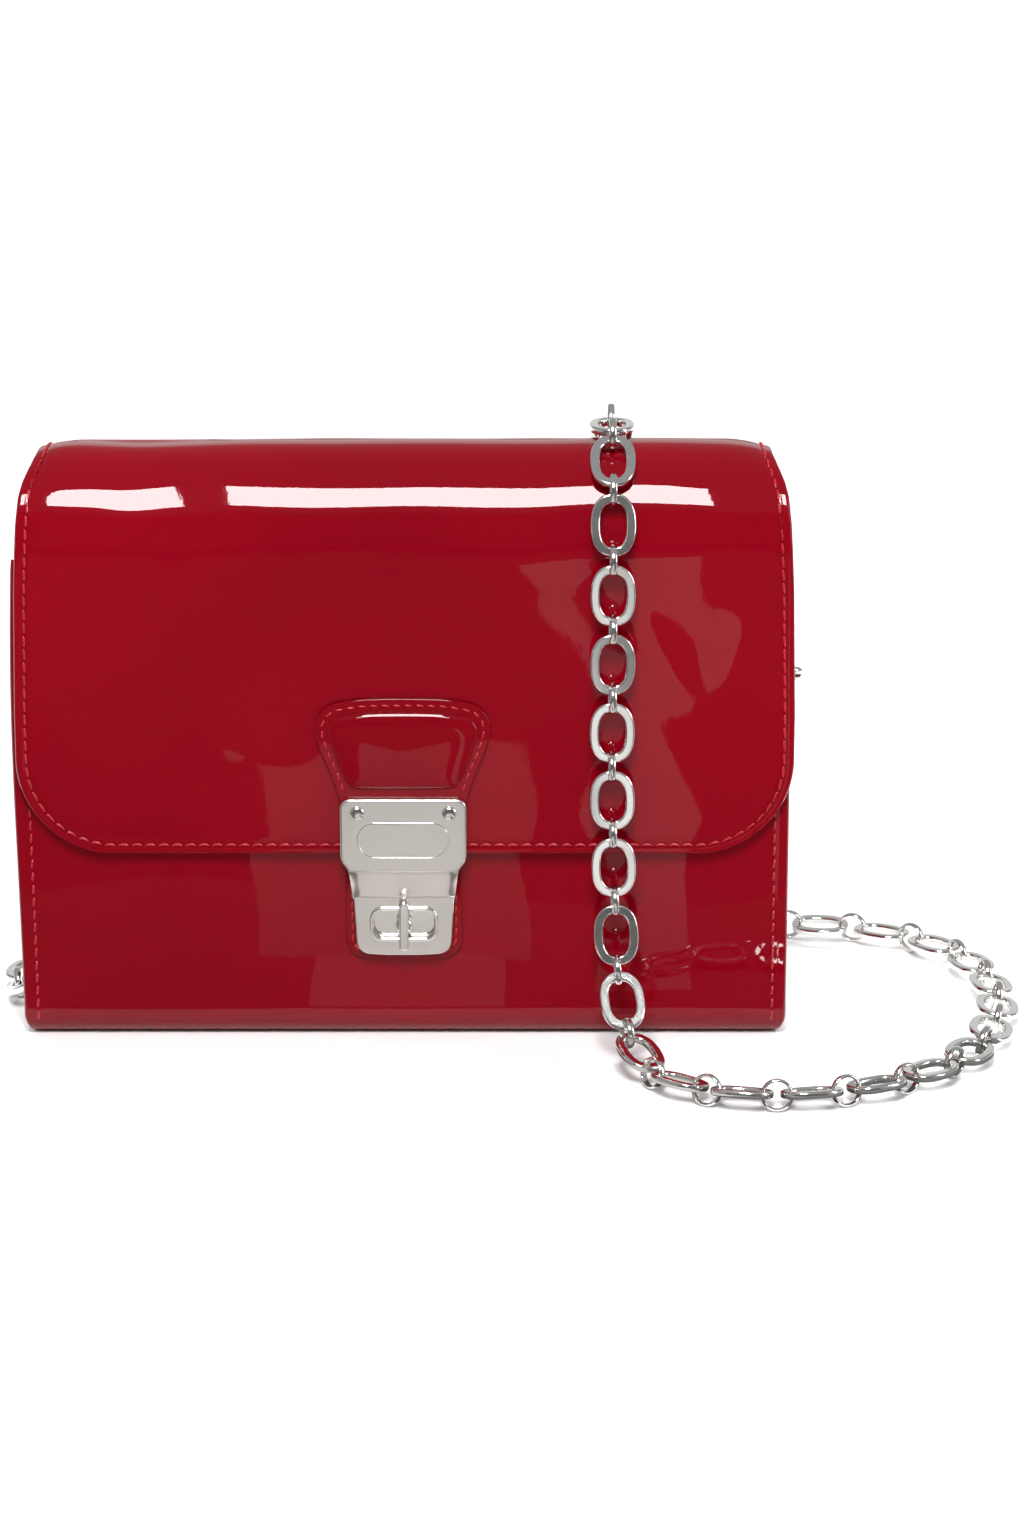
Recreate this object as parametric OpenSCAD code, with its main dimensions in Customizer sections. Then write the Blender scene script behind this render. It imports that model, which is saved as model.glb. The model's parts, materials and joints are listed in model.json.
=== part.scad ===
// Flap-top clutch purse in patent leather, with a turn lock and a chain shoulder strap.
// Z is up, the front faces -Y, and the origin is under the middle of the bag at floor level.

/* [Body] */
// Width of the body at its front
body_w = 230; // [200:1:260]
// Width of the body at its back
back_w = 222; // [190:1:250]
// Depth of the body from the back face to the front face
body_d = 45; // [40:1:56]
// Height of the back panel, up to the fold line of the flap
hinge_z = 169.5; // [150:0.5:190]
// Height of the front panel, under the flap
front_h = 148.5; // [130:0.5:149.5]
// Height of the two folded side gussets
gusset_h = 161.5; // [135:0.5:165]
// How far each gusset folds inwards
gusset_fold = 14.5; // [10:0.5:20]
// Outer radius of the bottom edges
edge_r = 8; // [6:0.5:10]
// Thickness of the outer leather
leather_t = 2; // [1.2:0.1:2.4]
// Thickness of the stiffening boards
board_t = 1; // [0.6:0.1:1.4]
// Thickness of the lining
lining_t = 0.8; // [0.5:0.1:1]

/* [Flap] */
// Highest point of the flap
crest_z = 180; // [170:1:200]
// Width of the flap where it crosses the top
flap_top_w = 218; // [190:1:250]
// Width of the flap at its shoulders, below the fold line
flap_shoulder_w = 227; // [200:1:250]
// Greatest width of the flap
flap_w = 231; // [200:1:262]
// Height of the flap's lower edge above the floor
flap_z = 59.5; // [50:0.5:80]
// Radius of the flap's two lower corners
flap_r = 29; // [15:1:40]
// Height at which the rounded front of the flap becomes flat
fold_z = 149.5; // [149.5:0.5:155]
// Thickness of the flap's outer leather
flap_outer_t = 1.4; // [1:0.1:1.8]
// Thickness of the flap's lining, without the pocket for its board
flap_lining_t = 1.2; // [0.8:0.1:1.4]
// Thickness of the board inside the flap
flap_board_t = 0.8; // [0.5:0.1:1]

/* [Turn lock] */
// Width of the upper plate
plate_w = 37.6; // [32:0.2:44]
// Top of the upper plate
plate_top_z = 77.5; // [76:0.5:80]
// Bottom of the upper plate
plate_low_z = 55; // [53:0.5:57]
// Width of the lower plate
hasp_w = 30; // [28:0.5:34]
// Bottom of the lower plate
hasp_low_z = 27.5; // [26:0.5:29]
// Height of the turn axis
lock_z = 37.5; // [36.5:0.5:38.5]
// Width of the slot
slot_w = 18.4; // [17:0.2:20]
// Height of the slot
slot_h = 8.6; // [7:0.2:9]
// Length of the turn bar
bar_l = 15.6; // [12:0.2:16.4]
// Thickness of the turn bar, seen from the front
bar_w = 3; // [2:0.2:4]

/* [Chain] */
// Outer length of a large link
link_l = 18.4; // [16:0.2:20]
// Outer width of a large link
link_w = 13.4; // [12:0.2:14]
// Width of the bar that a large link is made of
link_bar = 2.8; // [2:0.1:3]
// Thickness of a large link
link_t = 2.2; // [1.6:0.1:2.4]
// Outer radius of the small rings between the links
ring_r = 4.7; // [4.5:0.1:4.8]
// Thickness of the band that a small ring is made of
ring_band = 0.8; // [0.6:0.1:0.9]
// Length of a small ring along its own axis
ring_w = 2.2; // [1.6:0.1:2.6]

/* [Hidden] */
$fn = 48;

leather = "#a8071d";
leather_dark = "#860818";
lining_red = "#7c1420";
board_grey = "#8c857c";
metal = "#c9c9cd";

// Layers of the front, counted outwards from the front panel
flap_gap = 0.4;                                             // air between the body and the closed flap
flap_t = flap_outer_t + flap_board_t + flap_lining_t;
tab_t = 1.4;                                                // leather tab that carries the upper plate
pad_t = 1.2;                                                // how far the tab's padded middle stands out
plate_t = 2.2;
rivet_dome = 0.8;
front_stack = flap_gap + flap_t + tab_t + plate_t + rivet_dome;

back_y = (body_d + front_stack) / 2;                        // the whole bag is centred on the origin
front_y = back_y - body_d;
mid_y = (back_y + front_y) / 2;
half_w = body_w / 2;
back_half_w = back_w / 2;
seam_w = 1.2;                                               // panel edge that stands past each gusset seam
gusset_t = 1.4;
gusset_lining_t = 0.6;
inner_half_w = half_w - 6;                                  // half width of the front board and lining
back_inner_half_w = back_half_w - 6;                        // the same at the back
base_half_w = back_half_w - gusset_fold - 3;                // the same between the two folds
hinge_gap = 0.3;
flap_face_y = front_y - flap_gap - flap_t;
crest_y = 0;
arc_step = 9;
shoulder_z = hinge_z - 7.5;
flare_low_z = flap_z + flap_r + 12;
board_margin = 6;
above = crest_z + 20;                                       // a height clear of everything

// Lock, from the front panel outwards
patch_t = 1.4;
patch_w = 35;
patch_low_z = 25.9;
patch_top_z = 59.5;
patch_r = 6;
patch_y = front_y - patch_t;
base_plate_t = 0.9;
base_plate_y = patch_y - base_plate_t;
hasp_gap = 0.3;
hasp_t = 1.4;
hasp_y = base_plate_y - hasp_gap - hasp_t;
rim_t = 1;
rim_w = 1.1;
rim_y = hasp_y - rim_t;
bar_t = 2.2;
bar_y = rim_y - hasp_gap - bar_t;
plate_back_y = flap_face_y - tab_t;
plate_y = plate_back_y - plate_t;
slope_z = 45.7;                                               // where the sloped band meets the lower plate
plate_r = 3;
bevel = 0.8;
rivet_x = 13.7;
rivet_z = 73.2;
rivet_r = 2.15;
rivet_shaft_r = 1;
spindle_r = 1.6;
spindle_clear = 0.05;
spindle_hole_r = 2.2;
backing_w = 24;
backing_h = 14;

// Tab on the flap above the plate
tab_low_z = 55.5;
tab_waist_z = 75.5;
tab_wide_z = 96;
tab_top_z = 108;
tab_waist_w = 38;
tab_low_w = 33;                                             // hidden under the plate
tab_wide_w = 52;
tab_top_w = 44;
tab_margin = 5;

// Strap tabs and rings in the folds of the gussets
d_ring_x = half_w - 8;
d_ring_z = 144.5;
d_ring_R = 7;
d_wire_r = 1.25;
d_clear = 0.1;
tab_loop_r = 3;
tab_loop_w = 7;
tab_plate_h = 12;
fold_x = (half_w + back_half_w) / 2 - seam_w - gusset_fold;

// ---------------------------------------------------------------- helpers

// A section in Y and Z, extruded along X
module along_x(length) {
    rotate([90, 0, 90])
        linear_extrude(length, center = true)
            children();
}

// An outline in X and Z, extruded along Y between two depths
module along_y(y_near, y_far) {
    translate([0, y_far, 0])
        rotate([90, 0, 0])
            linear_extrude(y_far - y_near)
                children();
}

module pin_y(r, y_near, y_far, x, z) {
    translate([x, y_far, z])
        rotate([90, 0, 0])
            cylinder(r = r, h = y_far - y_near);
}

module pin_x(r, x0, x1, y, z) {
    translate([x0, y, z])
        rotate([0, 90, 0])
            cylinder(r = r, h = x1 - x0);
}

// Rectangle with round corners, centred
module round_rect(w, h, r) {
    square([w - 2 * r, h], center = true);
    square([w, h - 2 * r], center = true);
    for (sx = [-1, 1], sy = [-1, 1])
        translate([sx * (w / 2 - r), sy * (h / 2 - r)])
            circle(r = r);
}

// Section of the body, square at the top and round at the bottom edges
module body_section(inset) {
    translate([front_y + inset, edge_r])
        square([body_d - 2 * inset, above]);
    translate([front_y + edge_r, inset])
        square([body_d - 2 * edge_r, edge_r]);
    for (y = [front_y + edge_r, back_y - edge_r])
        translate([y, edge_r])
            circle(r = edge_r - inset);
}

module mirrored_x(side) {
    if (side > 0) children();
    else mirror([1, 0, 0]) children();
}

// ---------------------------------------------------------------- body

module wall(w, y_near, z_low, z_high, t) {
    translate([-w / 2, y_near, z_low])
        cube([w, t, z_high - z_low]);
}

module back_panel() {
    color(leather)
        wall(back_w, back_y - leather_t, edge_r, hinge_z, leather_t);
}

module front_panel() {
    color(leather)
        difference() {
            wall(body_w, front_y, edge_r, front_h, leather_t);
            pin_y(spindle_hole_r, front_y - 1, front_y + leather_t + 1, 0, lock_z);
        }
}

module base_panel() {
    color(leather)
        intersection() {
            along_x(body_w)
                difference() {
                    body_section(0);
                    body_section(leather_t);
                }
            // plan of the base, narrower at the back, up to where the upright panels start
            linear_extrude(edge_r)
                polygon([
                    [-half_w, front_y - 1], [half_w, front_y - 1], [half_w, front_y + leather_t],
                    [back_half_w, back_y - leather_t], [back_half_w, back_y + 1],
                    [-back_half_w, back_y + 1], [-back_half_w, back_y - leather_t],
                    [-half_w, front_y + leather_t]
                ]);
        }
}

// Both halves of one gusset, a sheet folded inwards along its middle
module fold_sheet(inset, t) {
    near = [half_w - seam_w - inset, front_y + leather_t];
    fold = [fold_x - inset, mid_y];
    far = [back_half_w - seam_w - inset, back_y - leather_t];
    inwards = [t, 0];
    polygon([near, fold, far, far - inwards, fold - inwards, near - inwards]);
}

module gusset_half_shell(side, inset, t) {
    mirrored_x(side)
        intersection() {
            translate([0, 0, leather_t])
                linear_extrude(gusset_h - leather_t)
                    fold_sheet(inset, t);
            along_x(body_w)
                body_section(leather_t);
        }
}

module gusset(side) {
    color(leather_dark)
        difference() {
            gusset_half_shell(side, 0, gusset_t);
            mirrored_x(side)
                pin_x(rivet_shaft_r, fold_x - 5, fold_x + 5, mid_y, d_ring_z + tab_plate_h / 2);
        }
}

module gusset_lining(side) {
    color(lining_red)
        difference() {
            gusset_half_shell(side, gusset_t, gusset_lining_t);
            mirrored_x(side)
                pin_x(rivet_shaft_r, fold_x - 5, fold_x + 5, mid_y, d_ring_z + tab_plate_h / 2);
            // the front and back boards and linings run down past the gusset's seams
            wall(2 * inner_half_w, front_y, 0, above, leather_t + board_t + lining_t);
            wall(2 * back_inner_half_w, back_y - leather_t - board_t - lining_t, 0, above,
                 leather_t + board_t + lining_t);
        }
}

module gusset_left() gusset(-1);
module gusset_right() gusset(1);
module gusset_lining_left() gusset_lining(-1);
module gusset_lining_right() gusset_lining(1);

module back_board() {
    color(board_grey)
        wall(2 * back_inner_half_w, back_y - leather_t - board_t, edge_r, hinge_z - 3, board_t);
}

module front_board() {
    color(board_grey)
        difference() {
            wall(2 * inner_half_w, front_y + leather_t, edge_r, front_h - 2, board_t);
            along_y(front_y, front_y + leather_t + board_t + 1)
                translate([0, lock_z])
                    square([backing_w, backing_h], center = true);
        }
}

module base_board() {
    color(board_grey)
        translate([-base_half_w, front_y + edge_r, leather_t])
            cube([2 * base_half_w, body_d - 2 * edge_r, board_t]);
}

module back_lining() {
    color(lining_red)
        wall(2 * back_inner_half_w, back_y - leather_t - board_t - lining_t, edge_r, hinge_z - 1, lining_t);
}

module front_lining() {
    color(lining_red)
        wall(2 * inner_half_w, front_y + leather_t + board_t, edge_r, front_h - 1, lining_t);
}

module base_lining() {
    color(lining_red)
        translate([-base_half_w, front_y + edge_r, leather_t + board_t])
            cube([2 * base_half_w, body_d - 2 * edge_r, lining_t]);
}

module slip_pocket() {
    pocket_w = 150;
    pocket_low_z = 45;
    pocket_high_z = 125;
    color(lining_red)
        wall(pocket_w, back_y - leather_t - board_t - 2 * lining_t, pocket_low_z, pocket_high_z, lining_t);
}

// ---------------------------------------------------------------- turn lock on the body

module lock_patch() {
    color(leather)
        along_y(patch_y, front_y)
            difference() {
                translate([0, (patch_low_z + patch_top_z) / 2])
                    round_rect(patch_w, patch_top_z - patch_low_z, patch_r);
                translate([0, lock_z])
                    circle(r = spindle_hole_r);
            }
}

module lock_base_plate() {
    color(metal)
        along_y(base_plate_y, patch_y)
            difference() {
                translate([0, lock_z])
                    round_rect(backing_w, backing_h, plate_r);
                translate([0, lock_z])
                    circle(r = spindle_r + spindle_clear);
            }
}

module lock_backing_plate() {
    color(metal)
        along_y(front_y + leather_t, front_y + leather_t + board_t)
            difference() {
                translate([0, lock_z])
                    square([backing_w, backing_h], center = true);
                translate([0, lock_z])
                    circle(r = spindle_r + spindle_clear);
            }
}

module lock_spindle() {
    color(metal)
        pin_y(spindle_r, bar_y + bar_t, front_y + leather_t + board_t - 0.2, 0, lock_z);
}

module turn_bar() {
    color(metal)
        along_y(bar_y, bar_y + bar_t)
            translate([0, lock_z])
                round_rect(bar_w, bar_l, bar_w / 2 - 0.1);
}

// ---------------------------------------------------------------- strap rings

module ring_tab(side) {
    color(leather)
        mirrored_x(side) {
            // the tab's plate hangs in the fold, held by a stud through the gusset
            translate([d_ring_x - leather_t / 2, mid_y - tab_loop_w / 2, d_ring_z + tab_loop_r - 0.4])
                cube([leather_t, tab_loop_w, tab_plate_h - tab_loop_r + 2]);
            pin_x(rivet_shaft_r, fold_x - gusset_t - gusset_lining_t - 2, d_ring_x, mid_y,
                  d_ring_z + tab_plate_h / 2);
            difference() {
                pin_y(tab_loop_r, mid_y - tab_loop_w / 2, mid_y + tab_loop_w / 2, d_ring_x, d_ring_z);
                pin_y(d_wire_r + d_clear, mid_y - tab_loop_w, mid_y + tab_loop_w, d_ring_x, d_ring_z);
            }
        }
}

module d_ring(side) {
    color(metal)
        mirrored_x(side) {
            pin_y(d_wire_r, mid_y - d_ring_R, mid_y + d_ring_R, d_ring_x, d_ring_z);
            translate([d_ring_x, mid_y, d_ring_z])
                rotate([0, 90, 0])
                    rotate([0, 0, -90])
                        rotate_extrude(angle = 180)
                            translate([d_ring_R, 0])
                                circle(r = d_wire_r);
        }
}

module ring_tab_left() ring_tab(-1);
module ring_tab_right() ring_tab(1);
module d_ring_left() d_ring(-1);
module d_ring_right() d_ring(1);

// ---------------------------------------------------------------- flap

// A point on an elliptic arc, moved inwards along its normal
function arc_point(cy, cz, ry, rz, a, inset) =
    let (n = [cos(a) / ry, sin(a) / rz])
    [cy + ry * cos(a), cz + rz * sin(a)] - inset * n / norm(n);

// The flap's section: fold line, crest, rounded front and flat front
function flap_curve(inset) = concat(
    [for (a = [0:arc_step:90])
        arc_point(crest_y, hinge_z + hinge_gap, back_y - crest_y, crest_z - hinge_z - hinge_gap, a, inset)],
    [for (a = [90 + arc_step:arc_step:180])
        arc_point(crest_y, fold_z, crest_y - flap_face_y, crest_z - fold_z, a, inset)],
    [[flap_face_y + inset, flap_z - 5]]
);

function reversed(list) = [for (i = [len(list) - 1:-1:0]) list[i]];

// One side of the flap's outline, seen from the front
function flap_edge(m) = concat(
    [[flap_top_w / 2 - m, above], [flap_top_w / 2 - m, crest_z - 3],
     [flap_shoulder_w / 2 - m, shoulder_z], [flap_w / 2 - m, flare_low_z]],
    [for (a = [0:-arc_step:-90])
        [flap_w / 2 - flap_r + (flap_r - m) * cos(a), flap_z + flap_r + (flap_r - m) * sin(a)]]
);

function mirrored(points) = [for (p = reversed(points)) [-p[0], p[1]]];

module flap_layer(inset, t, margin) {
    intersection() {
        along_x(flap_w + 2)
            polygon(concat(flap_curve(inset), reversed(flap_curve(inset + t))));
        along_y(flap_face_y - 2, back_y + 2)
            polygon(concat(flap_edge(margin), mirrored(flap_edge(margin))));
    }
}

module rivet_holes(y_near, y_far) {
    for (x = [-rivet_x, rivet_x])
        pin_y(rivet_shaft_r, y_near, y_far, x, rivet_z);
}

module backing_recess() {
    along_y(flap_face_y + flap_outer_t, flap_face_y + flap_outer_t + flap_board_t)
        translate([0, rivet_z])
            square([plate_w - 4, 8], center = true);
}

module flap_outer() {
    color(leather)
        difference() {
            flap_layer(0, flap_outer_t, 0);
            rivet_holes(flap_face_y - 1, flap_face_y + flap_outer_t + 1);
        }
}

module flap_board() {
    color(board_grey)
        difference() {
            flap_layer(flap_outer_t, flap_board_t, board_margin);
            backing_recess();
        }
}

module flap_lining() {
    color(leather_dark)
        difference() {
            flap_layer(flap_outer_t, flap_board_t + flap_lining_t, 0);
            flap_layer(flap_outer_t, flap_board_t, board_margin);
            backing_recess();
        }
}

// Keystone outline of the tab: a wide rounded head that narrows down to the plate
function tab_side(m) = [
    [tab_low_w / 2 - m, tab_low_z + m], [tab_low_w / 2 - m, tab_low_z + 8],
    [tab_waist_w / 2 - m, tab_waist_z],
    [tab_waist_w / 2 + 2.4 - m, tab_waist_z + 7], [tab_wide_w / 2 - 1.2 - m, tab_wide_z - 4],
    [tab_wide_w / 2 - m, tab_wide_z + 1], [tab_wide_w / 2 - 0.8 - m, tab_wide_z + 5 - m / 2],
    [tab_wide_w / 2 - 4 - m, tab_top_z - 3 - m], [tab_top_w / 2 - 4 - m, tab_top_z - 1 - m],
    [tab_top_w / 4, tab_top_z - m]
];

module tab_outline(m) {
    polygon(concat(tab_side(m), mirrored(tab_side(m))));
}

module padded_outline(m) {
    intersection() {
        tab_outline(m);
        translate([-tab_wide_w, plate_top_z + m - tab_margin + 2])
            square([2 * tab_wide_w, tab_wide_w]);
    }
}

module tab_padding() {
    color(board_grey)
        along_y(flap_face_y - pad_t, flap_face_y)
            padded_outline(tab_margin + 1.2);
}

module flap_tab() {
    color(leather)
        difference() {
            union() {
                along_y(flap_face_y - tab_t, flap_face_y)
                    tab_outline(0);
                along_y(flap_face_y - tab_t - pad_t, flap_face_y - tab_t)
                    padded_outline(tab_margin);
            }
            along_y(flap_face_y - pad_t, flap_face_y + 1)
                padded_outline(tab_margin + 1.2);
            rivet_holes(plate_y, flap_face_y + 1);
        }
}

// ---------------------------------------------------------------- hasp

module plate_block(w, h, z, y_near, y_far, r) {
    along_y(y_near, y_far)
        translate([0, z])
            round_rect(w, h, r);
}

module slot_outline(grow) {
    translate([0, lock_z])
        round_rect(slot_w + 2 * grow, slot_h + 2 * grow, 2 + grow);
}

module hasp_plate() {
    upper_h = plate_top_z - plate_low_z;
    upper_z = (plate_top_z + plate_low_z) / 2;
    lower_h = slope_z - hasp_low_z;
    color(metal)
        difference() {
            union() {
                plate_block(plate_w, upper_h, upper_z, plate_y + bevel, plate_back_y, plate_r);
                plate_block(plate_w - 2 * bevel, upper_h - 2 * bevel, upper_z, plate_y, plate_y + bevel,
                            plate_r);
                // band that slopes back from the upper plate to the lower one
                along_x(hasp_w + 2)
                    polygon([
                        [plate_y + bevel, plate_low_z + plate_r], [plate_y + bevel, plate_low_z],
                        [hasp_y, slope_z], [hasp_y, slope_z - 1], [hasp_y + hasp_t, slope_z - 1],
                        [hasp_y + hasp_t, slope_z + 1], [plate_back_y, plate_low_z + 1],
                        [plate_back_y, plate_low_z + plate_r]
                    ]);
                along_y(hasp_y, hasp_y + hasp_t)
                    intersection() {
                        translate([0, hasp_low_z + lower_h])
                            round_rect(hasp_w, 2 * lower_h, 2 * plate_r);
                        translate([-hasp_w, 0])
                            square([2 * hasp_w, slope_z]);
                    }
            }
            along_y(rim_y - 1, base_plate_y)
                slot_outline(0);
            rivet_holes(plate_y - 1, plate_back_y + 1);
        }
}

module slot_frame() {
    color(metal)
        along_y(rim_y, hasp_y)
            difference() {
                slot_outline(rim_w);
                slot_outline(0);
            }
}

module hasp_rivets() {
    color(metal)
        for (x = [-rivet_x, rivet_x]) {
            pin_y(rivet_shaft_r, plate_y, flap_face_y + flap_outer_t, x, rivet_z);
            pin_y(rivet_r, plate_y - rivet_dome, plate_y, x, rivet_z);
        }
}

module rivet_backing_plate() {
    color(metal)
        backing_recess();
}

// ---------------------------------------------------------------- chain strap

// The strap's route from the left ring to the right ring: each row is a point on the chain's
// centre line and the direction that a link there faces.
lift = ring_r + 0.2;                                        // rings hold the links off what they lie on
slack = 0.3;
front_line = flap_face_y - lift - slack;
back_line = back_y + lift + slack;
end_z = d_ring_z - d_ring_R - 2.3;
route = [
    [[-d_ring_x, mid_y, end_z],      [-1, 0, 0]],
    [[-d_ring_x, mid_y, 103],        [-1, 0, 0]],
    [[-d_ring_x, mid_y, 60],         [-1, 0, 0]],
    [[-d_ring_x - 1, mid_y, 32],     [-1, 0, 0]],
    [[-112, 2, 15],                  [-1, 0, 0.6]],
    [[-117, 5, 7],                   [-0.8, -0.2, 1]],
    [[-120.5, 15, lift],             [-0.2, 0, 1]],
    [[-120.5, 31, lift],             [0, 0, 1]],
    [[-110, 48, lift],               [0, 0, 1]],
    [[-86, 59, lift],                [0, 0.1, 1]],
    [[-50, 56, lift],                [0, 0, 1]],
    [[-10, 50, lift],                [0, -0.1, 1]],
    [[30, 50, lift],                 [0, 0, 1]],
    [[68, 58, lift],                 [0, 0.1, 1]],
    [[100, 70, lift],                [0, 0, 1]],
    [[128, 75, lift],                [0, -0.1, 1]],
    [[154, 66, lift],                [0.1, 0, 1]],
    [[172, 48, lift],                [-0.1, 0.1, 1]],
    [[180.5, 24, lift],              [0.1, 0, 1]],
    [[181.5, -2, lift],              [0.15, 0, 1]],
    [[176.5, -28, lift],             [0.2, -0.1, 1]],
    [[164.5, -52, lift],             [0.15, 0.1, 1]],
    [[144, -70, lift],               [0.1, 0.2, 1]],
    [[121, -80, lift],               [0, 0.25, 1]],
    [[98, -80, lift],                [0, 0.25, 1]],
    [[80, -71, lift],                [0.1, 0.2, 1]],
    [[70, -56, 6],                   [0.2, 0, 1]],
    [[66, -42, 13],                  [0.1, -0.7, 1]],
    [[64, front_line - 4, 26],       [0, -1, 0.3]],
    [[63, front_line, 48],           [0.05, -1, 0]],
    [[62, front_line, 83],           [0, -1, 0]],
    [[62, front_line, 118],          [0.05, -1, 0]],
    [[62, front_line, 149.5],        [0, -1, 0]],
    [[62, -24, 166.8],               [0, -0.9, 0.4]],
    [[62, -16.3, 178.4],             [0, -0.7, 0.7]],
    [[62, -7.5, 184],                [0, -0.3, 0.9]],
    [[62, 3, 185.5],                 [0, 0, 1]],
    [[62, 14.4, 184],                [0, 0.2, 1]],
    [[62, 24.2, 180.5],              [0, 0.5, 0.9]],
    [[62.5, 30, 175.6],              [0, 0.8, 0.6]],
    [[63, back_line, 168.5],         [0, 1, 0.1]],
    [[65, back_line, 148.5],         [0, 1, 0]],
    [[69, back_line, 115.5],         [0, 1, 0]],
    [[79, back_line + 0.3, 103],      [0, 1, 0]],
    [[93, back_line + 0.8, 98],      [0.05, 1, 0]],
    [[105.5, back_line + 1.6, 97],       [0.3, 1, 0]],
    [[114.8, 32, 98.5],              [0.8, 1, 0]],
    [[117, 25.4, 101.5],             [1, 0.4, 0]],
    [[115, 14.5, 106.5],             [1, 0.1, 0]],
    [[108.6, 5.5, 115],              [1, 0, 0.1]],
    [[d_ring_x, mid_y, 127],         [1, 0, 0]],
    [[d_ring_x, mid_y, end_z],       [1, 0, 0]]
];
last = len(route) - 1;
samples = 8;                                                // steps per stretch when measuring the route

// Catmull-Rom curve through column c of the route, at place u
function route_at(u, c) =
    let (
        i = min(floor(u), last - 1), t = u - i,
        a = route[max(i - 1, 0)][c], b = route[i][c],
        d = route[i + 1][c], e = route[min(i + 2, last)][c]
    )
    0.5 * (2 * b + (d - a) * t + (2 * a - 5 * b + 4 * d - e) * t * t + (3 * b - a - 3 * d + e) * t * t * t);

sample_points = [for (i = [0:last * samples]) route_at(i / samples, 0)];
function run_lengths(i = 0, sum = 0, list = []) =
    i > last * samples ? list
    : let (step = i == 0 ? 0 : norm(sample_points[i] - sample_points[i - 1]))
      run_lengths(i + 1, sum + step, concat(list, [[sum + step, i / samples]]));

length_table = run_lengths();
strap_length = length_table[len(length_table) - 1][0];
ring_gap = 2 * (ring_r - ring_band - link_bar) + 0.1;       // between the ends of two links in one ring
link_count = round(strap_length / (link_l + ring_gap));
pitch = strap_length / link_count;
ring_spots = [for (i = [0:link_count]) lookup(i * pitch, length_table)];
ring_places = [for (u = ring_spots) route_at(u, 0)];

// Places the children at p, with X along the chain and Z the way a link faces
module on_chain(p, along, facing) {
    t = along / norm(along);
    b_raw = cross(facing, t);
    b = b_raw / norm(b_raw);
    n = cross(t, b);
    multmatrix([
        [t[0], b[0], n[0], p[0]],
        [t[1], b[1], n[1], p[1]],
        [t[2], b[2], n[2], p[2]]
    ])
        children();
}

module oval(l, w) {
    square([l - w, w], center = true);
    for (s = [-1, 1])
        translate([s * (l - w) / 2, 0])
            circle(d = w);
}

module chain_link() {
    linear_extrude(link_t, center = true)
        difference() {
            oval(link_l, link_w);
            oval(link_l - 2 * link_bar, link_w - 2 * link_bar);
        }
}

module chain_ring() {
    rotate([90, 0, 0])
        difference() {
            cylinder(r = ring_r, h = ring_w, center = true);
            cylinder(r = ring_r - ring_band, h = ring_w + 1, center = true);
        }
}

// Links number first to number end, each between two rings
module chain_links(first, end) {
    color(metal)
        for (i = [first:end]) {
            p = ring_places[i];
            q = ring_places[i + 1];
            on_chain((p + q) / 2, q - p, route_at((ring_spots[i] + ring_spots[i + 1]) / 2, 1))
                chain_link();
        }
}

module chain_rings(first, end) {
    color(metal)
        for (i = [first:end]) {
            before = ring_places[max(i - 1, 0)];
            after = ring_places[min(i + 1, link_count)];
            on_chain(ring_places[i], after - before, route_at(ring_spots[i], 1))
                chain_ring();
        }
}

// The strap's stretches, by the number of the ring that each one starts at
function ring_near(u) = len([for (s = ring_spots) if (s < u) s]);
floor_start = ring_near(14);
drape_start = ring_near(27.4);
back_start = ring_near(37);

module chain_links_left() chain_links(0, floor_start - 1);
module chain_rings_left() chain_rings(0, floor_start - 1);
module chain_links_floor() chain_links(floor_start, drape_start - 1);
module chain_rings_floor() chain_rings(floor_start, drape_start - 1);
module chain_links_drape() chain_links(drape_start, back_start - 1);
module chain_rings_drape() chain_rings(drape_start, back_start - 1);
module chain_links_back() chain_links(back_start, link_count - 1);
module chain_rings_back() chain_rings(back_start, link_count);

// ---------------------------------------------------------------- assembly

back_panel();
front_panel();
base_panel();
gusset_left();
gusset_right();
back_board();
front_board();
base_board();
back_lining();
front_lining();
base_lining();
gusset_lining_left();
gusset_lining_right();
slip_pocket();
lock_patch();
lock_base_plate();
lock_backing_plate();
lock_spindle();
turn_bar();
ring_tab_left();
ring_tab_right();
d_ring_left();
d_ring_right();
flap_outer();
flap_board();
flap_lining();
flap_tab();
tab_padding();
hasp_plate();
slot_frame();
hasp_rivets();
rivet_backing_plate();
chain_links_left();
chain_rings_left();
chain_links_floor();
chain_rings_floor();
chain_links_drape();
chain_rings_drape();
chain_links_back();
chain_rings_back();
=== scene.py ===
"""Looks of a flap-top clutch purse in patent leather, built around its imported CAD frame. In metres."""

import json
import math

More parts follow.
